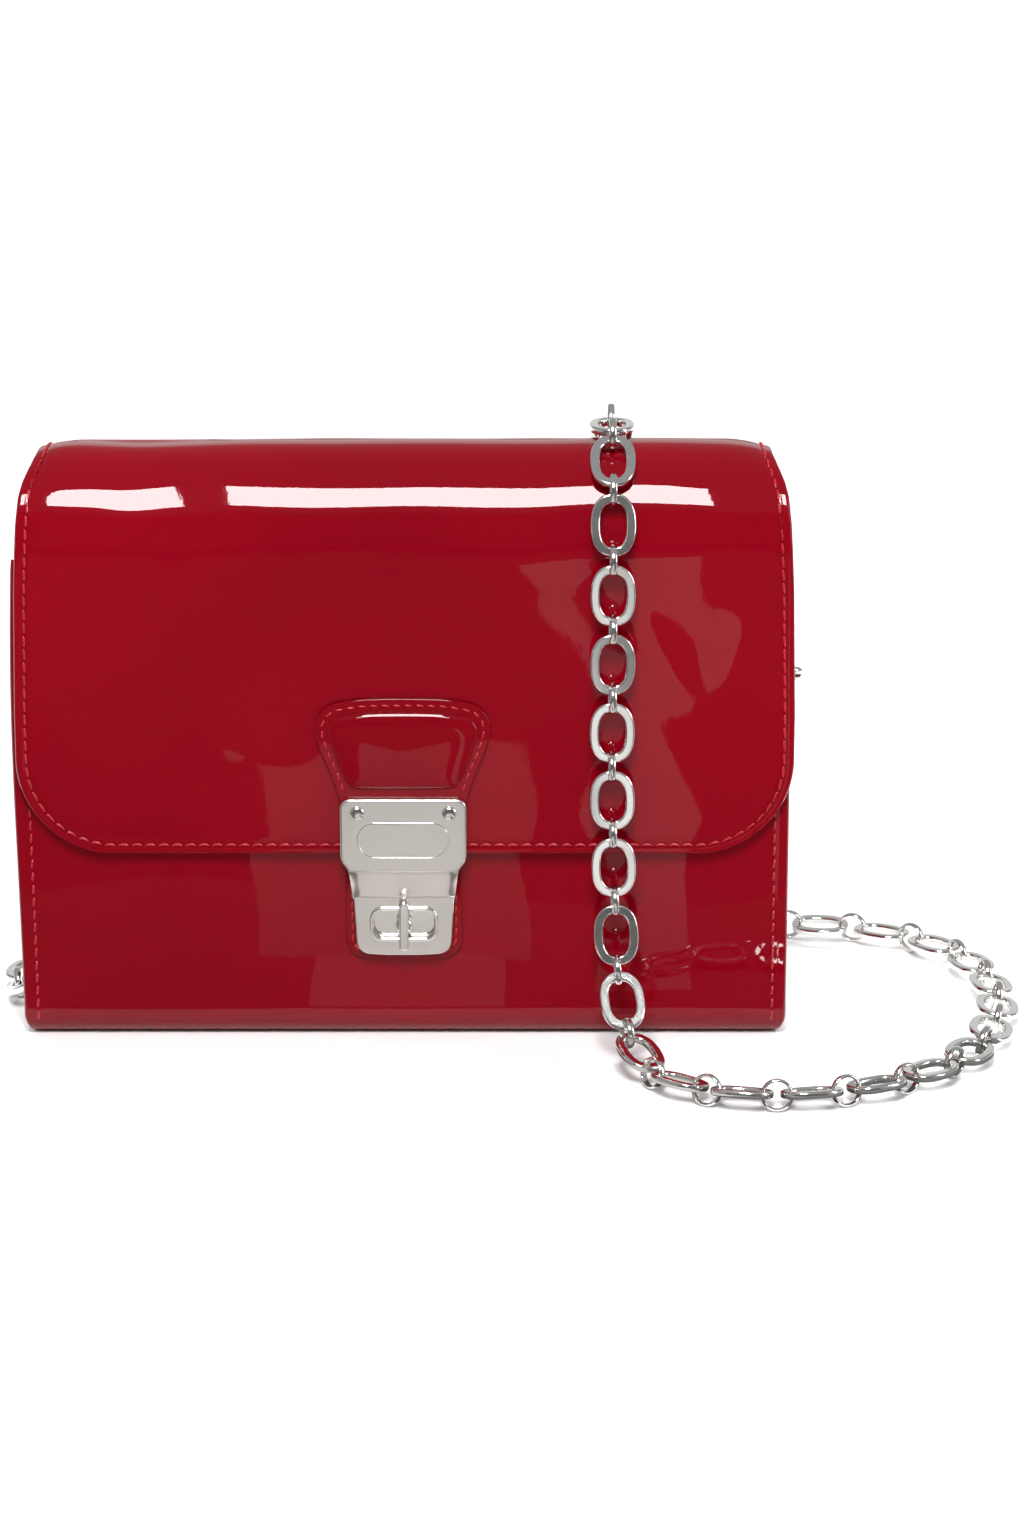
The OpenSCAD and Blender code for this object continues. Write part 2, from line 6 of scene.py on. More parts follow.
import bmesh
import bpy
import numpy as np
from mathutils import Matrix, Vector


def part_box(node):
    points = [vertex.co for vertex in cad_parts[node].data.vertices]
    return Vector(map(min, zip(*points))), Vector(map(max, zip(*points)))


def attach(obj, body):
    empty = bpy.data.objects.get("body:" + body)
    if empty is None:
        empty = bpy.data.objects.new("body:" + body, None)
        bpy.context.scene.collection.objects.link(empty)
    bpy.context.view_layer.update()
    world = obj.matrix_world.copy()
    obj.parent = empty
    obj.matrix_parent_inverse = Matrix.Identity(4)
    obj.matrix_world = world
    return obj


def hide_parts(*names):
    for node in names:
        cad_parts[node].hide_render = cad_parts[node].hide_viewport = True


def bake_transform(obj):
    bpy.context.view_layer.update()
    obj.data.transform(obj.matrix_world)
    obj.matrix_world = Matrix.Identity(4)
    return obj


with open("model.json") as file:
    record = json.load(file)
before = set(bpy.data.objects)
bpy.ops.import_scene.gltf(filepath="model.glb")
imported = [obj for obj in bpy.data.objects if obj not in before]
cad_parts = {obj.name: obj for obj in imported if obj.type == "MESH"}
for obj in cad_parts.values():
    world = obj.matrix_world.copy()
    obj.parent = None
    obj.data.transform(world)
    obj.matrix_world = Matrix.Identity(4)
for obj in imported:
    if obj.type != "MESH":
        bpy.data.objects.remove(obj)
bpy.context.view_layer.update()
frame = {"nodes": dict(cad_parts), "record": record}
MM = 0.001

# ---------------- places taken from the frame

front_low, front_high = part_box("front_panel")
back_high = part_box("back_panel")[1]
flap_low, flap_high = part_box("flap_outer")
gusset_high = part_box("gusset_right")[1]
patch_low, patch_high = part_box("lock_patch")
base_plate_low, base_plate_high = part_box("lock_base_plate")
hasp_low, hasp_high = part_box("hasp_plate")
rim_low, rim_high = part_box("slot_frame")
bar_low, bar_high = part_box("turn_bar")
tab_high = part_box("flap_tab")[1]
rivets_low, rivets_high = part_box("hasp_rivets")
ring_low, ring_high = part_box("d_ring_right")

FRONT_Y, BACK_Y = front_low.y, back_high.y
MID_Y = (FRONT_Y + BACK_Y) / 2
HALF_W, BACK_HALF_W = front_high.x, back_high.x
HINGE_Z, CREST_Z = back_high.z, flap_high.z
FLAP_Y, FLAP_Z, FLAP_HALF_W = flap_low.y, flap_low.z, flap_high.x
LOCK_Z = (bar_low.z + bar_high.z) / 2
LEATHER_T = front_high.y - front_low.y
EDGE_R = 8 * MM  # round bottom edges of the body
FLAP_T = 1.4 * MM  # outer leather of the flap
FLAP_R = 29 * MM  # lower corners of the flap
FOLD_Z = 149.5 * MM  # the flap is flat in front below this
FLAP_TOP_HALF_W = 109 * MM  # at the crest and behind it
FLAP_SHIFT = 0.6 * MM  # the flap sits a little to the right
STITCH_PITCH = 4.0 * MM
STITCH_IN = 2.9 * MM  # stitch line, inside the flap's edge
BODY_STITCH_IN = 4 * MM  # stitch line, inside the body's side edges


# ---------------- mesh helpers

def make_object(name, verts, faces, material, body=None, smooth=True, flat_faces=False):
    """New object from its points. With flat_faces, the faces that look straight along Y stay flat."""
    mesh = bpy.data.meshes.new(name)
    mesh.from_pydata([tuple(v) for v in verts], [], [tuple(f) for f in faces])
    mesh.validate()
    if smooth:
        shades = [not (flat_faces and abs(face.normal.y) > 0.999) for face in mesh.polygons]
        mesh.polygons.foreach_set("use_smooth", shades)
    mesh.materials.append(material)
    obj = bpy.data.objects.new(name, mesh)
    bpy.context.scene.collection.objects.link(obj)
    if body:
        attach(obj, body)
    return obj


def grid_faces(rows, cols, start=0, flip=False, wrap=False):
    """Four-sided faces of a grid of points. With wrap, each row is a closed ring."""
    faces = []
    last = cols if wrap else cols - 1
    for i in range(rows - 1):
        for j in range(last):
            k = (j + 1) % cols
            quad = [start + i * cols + j, start + i * cols + k,
                    start + (i + 1) * cols + k, start + (i + 1) * cols + j]
            faces.append(quad[::-1] if flip else quad)
    return faces


def loop_faces(rows, cols):
    """Faces of a tube bent round to meet itself: closed rings, the last joined to the first."""
    start = (rows - 1) * cols
    closing = [[start + j, start + (j + 1) % cols, (j + 1) % cols, j] for j in range(cols)]
    return grid_faces(rows, cols, wrap=True) + closing


def unit(v):
    v = np.asarray(v, float)
    return v / np.maximum(np.linalg.norm(v, axis=-1, keepdims=True), 1e-12)


def grid_normals(points):
    along = np.gradient(points, axis=0)
    across = np.gradient(points, axis=1)
    return unit(np.cross(along, across))


def boundary_loop(rows, cols):
    """Indices (row, column) round the edge of a grid, once round."""
    top = [(0, j) for j in range(cols - 1)]
    right = [(i, cols - 1) for i in range(rows - 1)]
    bottom = [(rows - 1, j) for j in range(cols - 1, 0, -1)]
    left = [(i, 0) for i in range(rows - 1, 0, -1)]
    return top + right + bottom + left


def thick_sheet(points, thickness, edge=0.3):
    """Closed sheet from a grid of points on its outer face, its edge rounded."""
    rows, cols = points.shape[:2]
    normals = grid_normals(points)
    outer = points.copy()
    inner = points - normals * thickness
    loop = boundary_loop(rows, cols)
    rim = []
    for i, j in loop:
        outer[i, j] -= normals[i, j] * thickness * edge
        inner[i, j] += normals[i, j] * thickness * edge
        di = 1 if i == 0 else -1 if i == rows - 1 else 0
        dj = 1 if j == 0 else -1 if j == cols - 1 else 0
        inward = unit(points[i + di, j + dj] - points[i, j])
        rim.append(points[i, j] - normals[i, j] * thickness / 2 - inward * thickness * edge * 0.5)
    verts = np.concatenate([outer.reshape(-1, 3), inner.reshape(-1, 3), np.array(rim)])
    n = rows * cols
    faces = grid_faces(rows, cols, flip=True) + grid_faces(rows, cols, n)
    count = len(loop)
    for k in range(count):
        a = loop[k][0] * cols + loop[k][1]
        b = loop[(k + 1) % count][0] * cols + loop[(k + 1) % count][1]
        ra, rb = 2 * n + k, 2 * n + (k + 1) % count
        faces += [[a, b, rb, ra], [ra, rb, n + b, n + a]]
    return verts, faces


def outward(verts, faces):
    """The same closed shape, with its faces turned outwards."""
    volume = 0.0
    for face in faces:
        a = verts[face[0]]
        for b, c in zip(face[1:], face[2:]):
            volume += float(np.dot(a, np.cross(verts[b], verts[c])))
    return verts, (faces if volume > 0 else [face[::-1] for face in faces])


def join_parts(parts):
    """One vertex and face list from several."""
    verts, faces, start = [], [], 0
    for v, f in parts:
        verts.append(np.asarray(v, float))
        faces += [[start + i for i in face] for face in f]
        start += len(v)
    return np.concatenate(verts), faces


def catmull(points, per_step):
    """Smooth curve through points, as a dense polyline."""
    p = np.asarray(points, float)
    p = np.vstack([p[:1], p, p[-1:]])
    t = np.linspace(0, 1, per_step, endpoint=False)[:, None]
    out = []
    for a, b, c, d in zip(p, p[1:], p[2:], p[3:]):
        out.append(0.5 * (2 * b + (c - a) * t + (2 * a - 5 * b + 4 * c - d) * t ** 2
                          + (3 * b - a - 3 * c + d) * t ** 3))
    return np.vstack(out + [p[-1:]])


def run_length(points):
    return np.concatenate([[0], np.cumsum(np.linalg.norm(np.diff(points, axis=0), axis=1))])


def at_lengths(points, places):
    s = run_length(points)
    return np.stack([np.interp(places, s, points[:, k]) for k in range(points.shape[1])], axis=1)


def flat_plate(outlines, y_back, y_front, bevel, steps=3):
    """Plate between two depths with bevelled edges. Outlines are (x, z); inner ones are holes."""
    curve = bpy.data.curves.new("plate", "CURVE")
    curve.dimensions = "2D"
    curve.fill_mode = "BOTH"
    curve.extrude = (y_back - y_front) / 2 - bevel
    curve.bevel_depth = bevel
    curve.bevel_resolution = steps
    curve.offset = -bevel
    for outline in outlines:
        spline = curve.splines.new("POLY")
        spline.points.add(len(outline) - 1)
        for point, (x, z) in zip(spline.points, outline):
            point.co = (x, z, 0, 1)
        spline.use_cyclic_u = True
    obj = bpy.data.objects.new("plate", curve)
    bpy.context.scene.collection.objects.link(obj)
    bpy.context.view_layer.update()
    mesh = obj.evaluated_get(bpy.context.evaluated_depsgraph_get()).to_mesh()
    welded = bmesh.new()
    welded.from_mesh(mesh)
    bmesh.ops.remove_doubles(welded, verts=welded.verts, dist=1e-7)
    welded.verts.index_update()
    verts = np.array([(v.co.x, (y_back + y_front) / 2 + v.co.z, v.co.y) for v in welded.verts])
    faces = [[v.index for v in face.verts][::-1] for face in welded.faces]
    welded.free()
    obj.to_mesh_clear()
    bpy.data.objects.remove(obj)
    bpy.data.curves.remove(curve)
    return outward(verts, faces)


def round_outline(w, h, r, z, steps=8):
    """Rectangle with round corners centred on x = 0 and height z."""
    points = []
    for sx, sz, start in ((1, 1, 0), (-1, 1, 90), (-1, -1, 180), (1, -1, 270)):
        for k in range(steps + 1):
            a = math.radians(start + 90 * k / steps)
            points.append((sx * (w / 2 - r) + r * math.cos(a), z + sz * (h / 2 - r) + r * math.sin(a)))
    return points


def turned(profile, origin, steps=32):
    """Solid of revolution about Y: profile is (radius, y) from the front tip to the back."""
    a = np.linspace(0, 2 * math.pi, steps, endpoint=False)
    rows = [np.stack([r * np.cos(a), np.full(steps, y), r * np.sin(a)], axis=1) for r, y in profile]
    verts = np.concatenate(rows) + np.array([origin[0], 0, origin[1]])
    faces = grid_faces(len(profile), steps, wrap=True)
    faces += [list(range(steps))[::-1], [(len(profile) - 1) * steps + k for k in range(steps)]]
    return outward(verts, faces)


# ---------------- materials

def new_material(name):
    material = bpy.data.materials.new(name)
    material.use_nodes = True
    nodes = material.node_tree.nodes
    return material, nodes, material.node_tree.links, nodes["Principled BSDF"]


def noise_node(nodes, links, scale, detail=2.0, stretch=None):
    coords = nodes.new("ShaderNodeTexCoord")
    noise = nodes.new("ShaderNodeTexNoise")
    noise.inputs["Scale"].default_value = scale
    noise.inputs["Detail"].default_value = detail
    if stretch:
        mapping = nodes.new("ShaderNodeMapping")
        mapping.inputs["Scale"].default_value = stretch
        links.new(coords.outputs["Object"], mapping.inputs["Vector"])
        links.new(mapping.outputs["Vector"], noise.inputs["Vector"])
    else:
        links.new(coords.outputs["Object"], noise.inputs["Vector"])
    return noise


def colour_between(nodes, links, factor, dark, light, output):
    ramp = nodes.new("ShaderNodeValToRGB")
    ramp.color_ramp.elements[0].position = 0.3
    ramp.color_ramp.elements[1].position = 0.7
    ramp.color_ramp.elements[0].color = (*dark, 1)
    ramp.color_ramp.elements[1].color = (*light, 1)
    links.new(factor, ramp.inputs["Fac"])
    links.new(ramp.outputs["Color"], output)


def range_between(nodes, links, factor, low, high, output):
    remap = nodes.new("ShaderNodeMapRange")
    remap.inputs["To Min"].default_value = low
    remap.inputs["To Max"].default_value = high
    links.new(factor, remap.inputs["Value"])
    links.new(remap.outputs["Result"], output)


def bump_chain(nodes, links, shader, layers):
    """Layers are (height socket, strength, distance), the broadest first."""
    previous = None
    for height, strength, distance in layers:
        bump = nodes.new("ShaderNodeBump")
        bump.inputs["Strength"].default_value = strength
        bump.inputs["Distance"].default_value = distance
        links.new(height, bump.inputs["Height"])
        if previous:
            links.new(previous.outputs["Normal"], bump.inputs["Normal"])
        previous = bump
    links.new(previous.outputs["Normal"], shader.inputs["Normal"])
    return previous


def patent_material(name, dark, light, coat=1.0):
    """Smooth leather under a thick glossy coat, with a faint orange peel and slow waves."""
    material, nodes, links, shader = new_material(name)
    tone = noise_node(nodes, links, 9, 3)
    colour_between(nodes, links, tone.outputs["Fac"], dark, light, shader.inputs["Base Color"])
    range_between(nodes, links, tone.outputs["Fac"], 0.22, 0.34, shader.inputs["Roughness"])
    shader.inputs["Coat Weight"].default_value = coat
    shader.inputs["Coat Roughness"].default_value = 0.025
    shader.inputs["Coat IOR"].default_value = 1.34
    shader.inputs["Specular IOR Level"].default_value = 0.0
    waves = noise_node(nodes, links, 22, 1)
    peel = noise_node(nodes, links, 420, 2)
    bump = bump_chain(nodes, links, shader, [(waves.outputs["Fac"], 0.25, 1.2 * MM),
                                             (peel.outputs["Fac"], 0.10, 0.06 * MM)])
    links.new(bump.outputs["Normal"], shader.inputs["Coat Normal"])
    return material


def leather_material(name, dark, light):
    """Fine matt leather with a pebbled grain."""
    material, nodes, links, shader = new_material(name)
    tone = noise_node(nodes, links, 30, 4)
    colour_between(nodes, links, tone.outputs["Fac"], dark, light, shader.inputs["Base Color"])
    range_between(nodes, links, tone.outputs["Fac"], 0.45, 0.62, shader.inputs["Roughness"])
    grain = nodes.new("ShaderNodeTexVoronoi")
    coords = nodes.new("ShaderNodeTexCoord")
    links.new(coords.outputs["Object"], grain.inputs["Vector"])
    grain.inputs["Scale"].default_value = 900
    bump_chain(nodes, links, shader, [(grain.outputs["Distance"], 0.5, 0.12 * MM)])
    return material


def fabric_material(name, dark, light, threads=1500):
    """Plain woven lining: two sets of threads that cross."""
    material, nodes, links, shader = new_material(name)
    tone = noise_node(nodes, links, 60, 3)
    colour_between(nodes, links, tone.outputs["Fac"], dark, light, shader.inputs["Base Color"])
    coords = nodes.new("ShaderNodeTexCoord")
    waves = []
    for direction in ("X", "Z"):
        wave = nodes.new("ShaderNodeTexWave")
        wave.bands_direction = direction
        wave.inputs["Scale"].default_value = threads / 6
        wave.inputs["Distortion"].default_value = 0.6
        links.new(coords.outputs["Object"], wave.inputs["Vector"])
        waves.append(wave)
    weave = nodes.new("ShaderNodeMath")
    weave.operation = "MULTIPLY"
    links.new(waves[0].outputs["Fac"], weave.inputs[0])
    links.new(waves[1].outputs["Fac"], weave.inputs[1])
    bump_chain(nodes, links, shader, [(weave.outputs["Value"], 0.6, 0.1 * MM)])
    shader.inputs["Roughness"].default_value = 0.7
    shader.inputs["Sheen Weight"].default_value = 0.35
    shader.inputs["Sheen Roughness"].default_value = 0.4
    return material


def metal_material(name, tone, rough_low, rough_high, brushed=None):
    """Polished metal with faint hairlines and small differences in polish."""
    material, nodes, links, shader = new_material(name)
    shader.inputs["Metallic"].default_value = 1.0
    cloud = noise_node(nodes, links, 180, 4)
    darker = tuple(c * 0.93 for c in tone)
    colour_between(nodes, links, cloud.outputs["Fac"], darker, tone, shader.inputs["Base Color"])
    range_between(nodes, links, cloud.outputs["Fac"], rough_low, rough_high, shader.inputs["Roughness"])
    lines = noise_node(nodes, links, 260, 3, brushed or (1, 6, 1))
    bump_chain(nodes, links, shader, [(lines.outputs["Fac"], 0.05, 0.02 * MM)])
    return material


def plain_material(name, dark, light, rough, scale, grain):
    material, nodes, links, shader = new_material(name)
    tone = noise_node(nodes, links, scale, 4)
    colour_between(nodes, links, tone.outputs["Fac"], dark, light, shader.inputs["Base Color"])
    shader.inputs["Roughness"].default_value = rough
    bump_chain(nodes, links, shader, [(tone.outputs["Fac"], 0.4, grain)])
    return material


PATENT = patent_material("patent_red", (0.142, 0.0003, 0.0042), (0.178, 0.0004, 0.0056))
PATENT_TAB = patent_material("patent_red_tab", (0.130, 0.0003, 0.0036), (0.158, 0.0004, 0.0046))
GUSSET = patent_material("patent_red_gusset", (0.10, 0.0003, 0.003), (0.14, 0.0004, 0.004), coat=0.7)
INNER = leather_material("inner_leather", (0.11, 0.002, 0.006), (0.15, 0.003, 0.009))
LINING = fabric_material("lining_cloth", (0.13, 0.006, 0.012), (0.19, 0.009, 0.018))
THREAD = plain_material("red_thread", (0.26, 0.003, 0.008), (0.38, 0.007, 0.016), 0.34, 900, 0.05 * MM)
NICKEL = metal_material("polished_nickel", (0.86, 0.84, 0.80), 0.07, 0.15)
PLATE = metal_material("satin_nickel", (0.84, 0.81, 0.77), 0.20, 0.30)
CHAIN = metal_material("polished_chain", (0.86, 0.85, 0.83), 0.09, 0.18)
STEEL = metal_material("plain_steel", (0.50, 0.50, 0.52), 0.25, 0.4)
BOARD = plain_material("grey_board", (0.30, 0.27, 0.23), (0.40, 0.36, 0.31), 0.85, 250, 0.1 * MM)
FOAM = plain_material("foam", (0.62, 0.58, 0.48), (0.75, 0.70, 0.60), 0.9, 500, 0.2 * MM)


# ---------------- camera

def add_camera():
    data = bpy.data.cameras.new("camera")
    camera = bpy.data.objects.new("camera", data)
    bpy.context.scene.collection.objects.link(camera)
    bpy.context.scene.camera = camera
    data.sensor_fit = "VERTICAL"
    data.sensor_height = 36
    data.lens = 105
    target = Vector((0.0324, FRONT_Y, 0.0851))
    pitch = math.radians(16.5)
    distance = 1.335
    camera.location = target + Vector((0, -math.cos(pitch), math.sin(pitch))) * distance
    camera.rotation_euler = (target - camera.location).to_track_quat("-Z", "Y").to_euler()
    data.clip_end = 50


add_camera()

# ---------------- chain strap

LIFT = 4.9 * MM  # the small rings hold the links off what they lie on
SLACK = 0.3 * MM
FRONT_LINE = FLAP_Y - LIFT - SLACK
BACK_LINE = BACK_Y + LIFT + SLACK
RING_X = (ring_low.x + ring_high.x) / 2
END_Z = ring_low.z - 1.05 * MM

# The strap's route from the left ring to the right ring, and the direction that a link there faces
ROUTE = [
    ((-RING_X, MID_Y, END_Z), (-1, 0, 0)),
    ((-RING_X, MID_Y, 0.103), (-1, 0, 0)),
    ((-RING_X, MID_Y, 0.060), (-1, 0, 0)),
    ((-RING_X - 0.001, MID_Y, 0.032), (-1, 0, 0)),
    ((-0.112, 0.002, 0.015), (-1, 0, 0.6)),
    ((-0.117, 0.005, 0.007), (-0.8, -0.2, 1)),
    ((-0.1205, 0.015, LIFT), (-0.2, 0, 1)),
    ((-0.1205, 0.031, LIFT), (0, 0, 1)),
    ((-0.110, 0.048, LIFT), (0, 0, 1)),
    ((-0.086, 0.059, LIFT), (0, 0.1, 1)),
    ((-0.050, 0.056, LIFT), (0, 0, 1)),
    ((-0.010, 0.050, LIFT), (0, -0.1, 1)),
    ((0.030, 0.050, LIFT), (0, 0, 1)),
    ((0.068, 0.058, LIFT), (0, 0.1, 1)),
    ((0.100, 0.070, LIFT), (0, 0, 1)),
    ((0.128, 0.075, LIFT), (0, -0.1, 1)),
    ((0.154, 0.066, LIFT), (0.1, 0, 1)),
    ((0.172, 0.048, LIFT), (-0.1, 0.1, 1)),
    ((0.1805, 0.024, LIFT), (0.1, 0, 1)),
    ((0.1815, -0.002, LIFT), (0.15, 0, 1)),
    ((0.1765, -0.028, LIFT), (0.2, -0.1, 1)),
    ((0.1645, -0.052, LIFT), (0.15, 0.1, 1)),
    ((0.144, -0.070, LIFT), (0.1, 0.2, 1)),
    ((0.121, -0.080, LIFT), (0, 0.25, 1)),
    ((0.098, -0.080, LIFT), (0, 0.25, 1)),
    ((0.080, -0.071, LIFT), (0.1, 0.2, 1)),
    ((0.070, -0.056, 0.006), (0.2, 0, 1)),
    ((0.066, -0.042, 0.013), (0.1, -0.7, 1)),
    ((0.064, FRONT_LINE - 0.004, 0.026), (0, -1, 0.3)),
    ((0.063, FRONT_LINE, 0.048), (0.05, -1, 0)),
    ((0.062, FRONT_LINE, 0.083), (0, -1, 0)),
    ((0.062, FRONT_LINE, 0.118), (0.05, -1, 0)),
    ((0.062, FRONT_LINE, 0.1495), (0, -1, 0)),
    ((0.062, -0.024, 0.1668), (0, -0.9, 0.4)),
    ((0.062, -0.0163, 0.1784), (0, -0.7, 0.7)),
    ((0.062, -0.0075, 0.184), (0, -0.3, 0.9)),
    ((0.062, 0.003, 0.1855), (0, 0, 1)),
    ((0.062, 0.0144, 0.184), (0, 0.2, 1)),
    ((0.062, 0.0242, 0.1805), (0, 0.5, 0.9)),
    ((0.0625, 0.030, 0.1756), (0, 0.8, 0.6)),
    ((0.063, BACK_LINE, 0.1685), (0, 1, 0.1)),
    ((0.065, BACK_LINE, 0.1485), (0, 1, 0)),
    ((0.069, BACK_LINE, 0.1155), (0, 1, 0)),
    ((0.079, BACK_LINE + 0.0003, 0.103), (0, 1, 0)),
    ((0.093, BACK_LINE + 0.0008, 0.098), (0.05, 1, 0)),
    ((0.1055, BACK_LINE + 0.0016, 0.097), (0.3, 1, 0)),
    ((0.1148, 0.032, 0.0985), (0.8, 1, 0)),
    ((0.117, 0.0254, 0.1015), (1, 0.4, 0)),
    ((0.115, 0.0145, 0.1065), (1, 0.1, 0)),
    ((0.1086, 0.0055, 0.115), (1, 0, 0.1)),
    ((RING_X, MID_Y, 0.127), (1, 0, 0)),
    ((RING_X, MID_Y, END_Z), (1, 0, 0)),
]
LINK_L, LINK_W, LINK_BAR, LINK_T = 18.4 * MM, 13.4 * MM, 2.8 * MM, 2.2 * MM
BAND_R, BAND_T, BAND_W = 4.7 * MM, 0.8 * MM, 2.2 * MM
LINK_GAP = 2.3 * MM  # between the ends of two links in one ring
LINK_SIDES = 12  # sides of a link's section
BROAD_SIDES = (3, 9)  # its two broad flat sides


def oval_bar(length, width, bar, thick, steps=40, power=2.5):
    """Flat oval link: a rounded bar swept round an oval, lying in X and Y."""
    a = np.linspace(0, 2 * math.pi, steps, endpoint=False)
    reach = lambda v: np.sign(v) * np.abs(v) ** (2 / power)
    line = np.stack([reach(np.cos(a)) * (length - bar) / 2, reach(np.sin(a)) * (width - bar) / 2], axis=1)
    line = at_lengths(np.vstack([line, line[:1]]), np.linspace(0, 1, steps, endpoint=False)
                      * run_length(np.vstack([line, line[:1]]))[-1])
    ahead = unit(np.roll(line, -1, axis=0) - np.roll(line, 1, axis=0))
    side = np.stack([ahead[:, 1], -ahead[:, 0]], axis=1)
    soft = 0.55 * MM
    u, w = bar / 2, thick / 2
    near_u, near_w = u - soft * 0.35, w - soft * 0.3
    section = [(u, soft - w), (u, w - soft), (near_u, near_w),
               (u - soft, w), (soft - u, w), (-near_u, near_w),
               (-u, w - soft), (-u, soft - w), (-near_u, -near_w),
               (soft - u, -w), (u - soft, -w), (near_u, -near_w)]
    rows = []
    for p, s in zip(line, side):
        rows += [(p[0] + s[0] * out, p[1] + s[1] * out, up) for out, up in section]
    return outward(np.array(rows), loop_faces(steps, len(section)))


def band_ring(radius, band, width, steps=28):
    """Small band ring whose axis is Y, domed on its outer side."""
    shoulder = radius - band * 0.62
    dome = [math.radians(a) for a in range(20, 180, 20)]
    section = [(shoulder, width * 0.5)]
    section += [(shoulder + band * 0.78 * math.sin(a), width / 2 * math.cos(a)) for a in dome]
    section += [(shoulder, -width * 0.5), (radius - band, -width * 0.42), (radius - band, width * 0.42)]
    rows = []
    for k in range(steps):
        a = 2 * math.pi * k / steps
        rows += [(r * math.cos(a), y, r * math.sin(a)) for r, y in section]
    return outward(np.array(rows), loop_faces(steps, len(section)))


def on_chain(shape, place, along, facing):
    """A link or ring moved to its place on the chain, as points and faces."""
    t = unit(along)
    b = unit(np.cross(facing, t))
    n = np.cross(t, b)
    return shape[0] @ np.stack([t, b, n]) + place, shape[1]


def chain_route():
    """Dense centre line, its facing directions, and the evenly spaced places of the rings."""
    line = catmull([p for p, _ in ROUTE], 8)
    facing = catmull([f for _, f in ROUTE], 8)
    s = run_length(line)
    count = round(s[-1] / (LINK_L + LINK_GAP))
    spots = np.linspace(0, s[-1], count + 1)
    return line, facing, spots


def add_chain():
    line, facing, spots = chain_route()
    rings = at_lengths(line, spots)
    middle = (spots[:-1] + spots[1:]) / 2
    s = run_length(line)
    face_at = lambda places: np.stack([np.interp(places, s, facing[:, k]) for k in range(3)], axis=1)
    link = oval_bar(LINK_L, LINK_W, LINK_BAR, LINK_T)
    ring = band_ring(BAND_R, BAND_T, BAND_W)
    parts = []
    for p, q, f in zip(rings, rings[1:], face_at(middle)):
        parts.append(on_chain(link, (p + q) / 2, q - p, f))
    for i, f in enumerate(face_at(spots)):
        along = rings[min(i + 1, len(rings) - 1)] - rings[max(i - 1, 0)]
        parts.append(on_chain(ring, rings[i], along, f))
    strap = make_object("chain_strap", *join_parts(parts), CHAIN, "root")
    shades = np.ones(len(strap.data.polygons), bool)
    on_links = np.arange(len(middle) * len(link[1]))
    shades[on_links[np.isin(on_links % LINK_SIDES, BROAD_SIDES)]] = False
    strap.data.polygons.foreach_set("use_smooth", shades)
    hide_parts(*[f"chain_{kind}_{part}" for kind in ("links", "rings")
                         for part in ("left", "floor", "drape", "back")])


add_chain()


# ---------------- stitches

def stitches(path, facing, pitch=STITCH_PITCH, length=3.1 * MM, radius=0.42 * MM):
    """Row of thread stitches along a path: each is a short rounded bar that dips at both ends."""
    total = run_length(path)[-1]
    count = max(1, int(round(total / pitch)))
    places = (np.arange(count) + 0.5) * total / count
    centre = at_lengths(path, places)
    step = 0.5 * MM
    ahead = at_lengths(path, np.minimum(places + step, total))
    ahead -= at_lengths(path, np.maximum(places - step, 0))
    up = unit(at_lengths(np.hstack([path, facing]), places)[:, 3:])
    parts = []
    ends = [(-0.5, 0.25), (-0.42, 0.8), (-0.2, 1.0), (0.2, 1.0), (0.42, 0.8), (0.5, 0.25)]
    sides = 8
    angles = [2 * math.pi * k / sides for k in range(sides)]
    for c, t, u in zip(centre, unit(ahead), up):
        side = unit(np.cross(t, u))
        slant = unit(t + 0.10 * side)
        side = unit(np.cross(slant, u))
        rows = []
        for place, size in ends:
            dip = -radius * 1.2 * (2 * place) ** 2
            for a in angles:
                lift = dip + radius * size * math.sin(a) + radius * 0.25
                rows.append(c + slant * place * length + u * lift + side * radius * size * math.cos(a))
        faces = grid_faces(len(ends), sides, wrap=True, flip=True)
        faces += [list(range(sides)), list(range(len(rows) - sides, len(rows)))[::-1]]
        parts.append((np.array(rows), faces))
    return join_parts(parts)


# ---------------- body wrap

def soft_waves(x, z, size):
    """Slow unevenness of stretched leather, in metres."""
    return size * (0.5 * np.sin(x * 31 + 0.8) * np.cos(z * 37 + 0.3)
                   + 0.35 * np.sin(x * 58 + z * 41 + 2.1) + 0.2 * np.sin(z * 83 - x * 22 + 1.0))


def edge_spread(half, near=(0, 0.35, 0.9, 1.5, 2.2, 2.9, 3.6, 4.3, 5.2, 6.5, 8, 10), middle=40):
    """Places across a sheet from -half to half, close together near its two edges."""
    near = np.array(near) * MM
    side = half - near
    centre = np.linspace(-side[-1], side[-1], middle)[1:-1]
    return np.concatenate([-side, centre, side[::-1]])


def share_back(y):
    """How far back a place is: 0 at the body's front face and 1 at its back face."""
    return (y - FRONT_Y) / (BACK_Y - FRONT_Y)


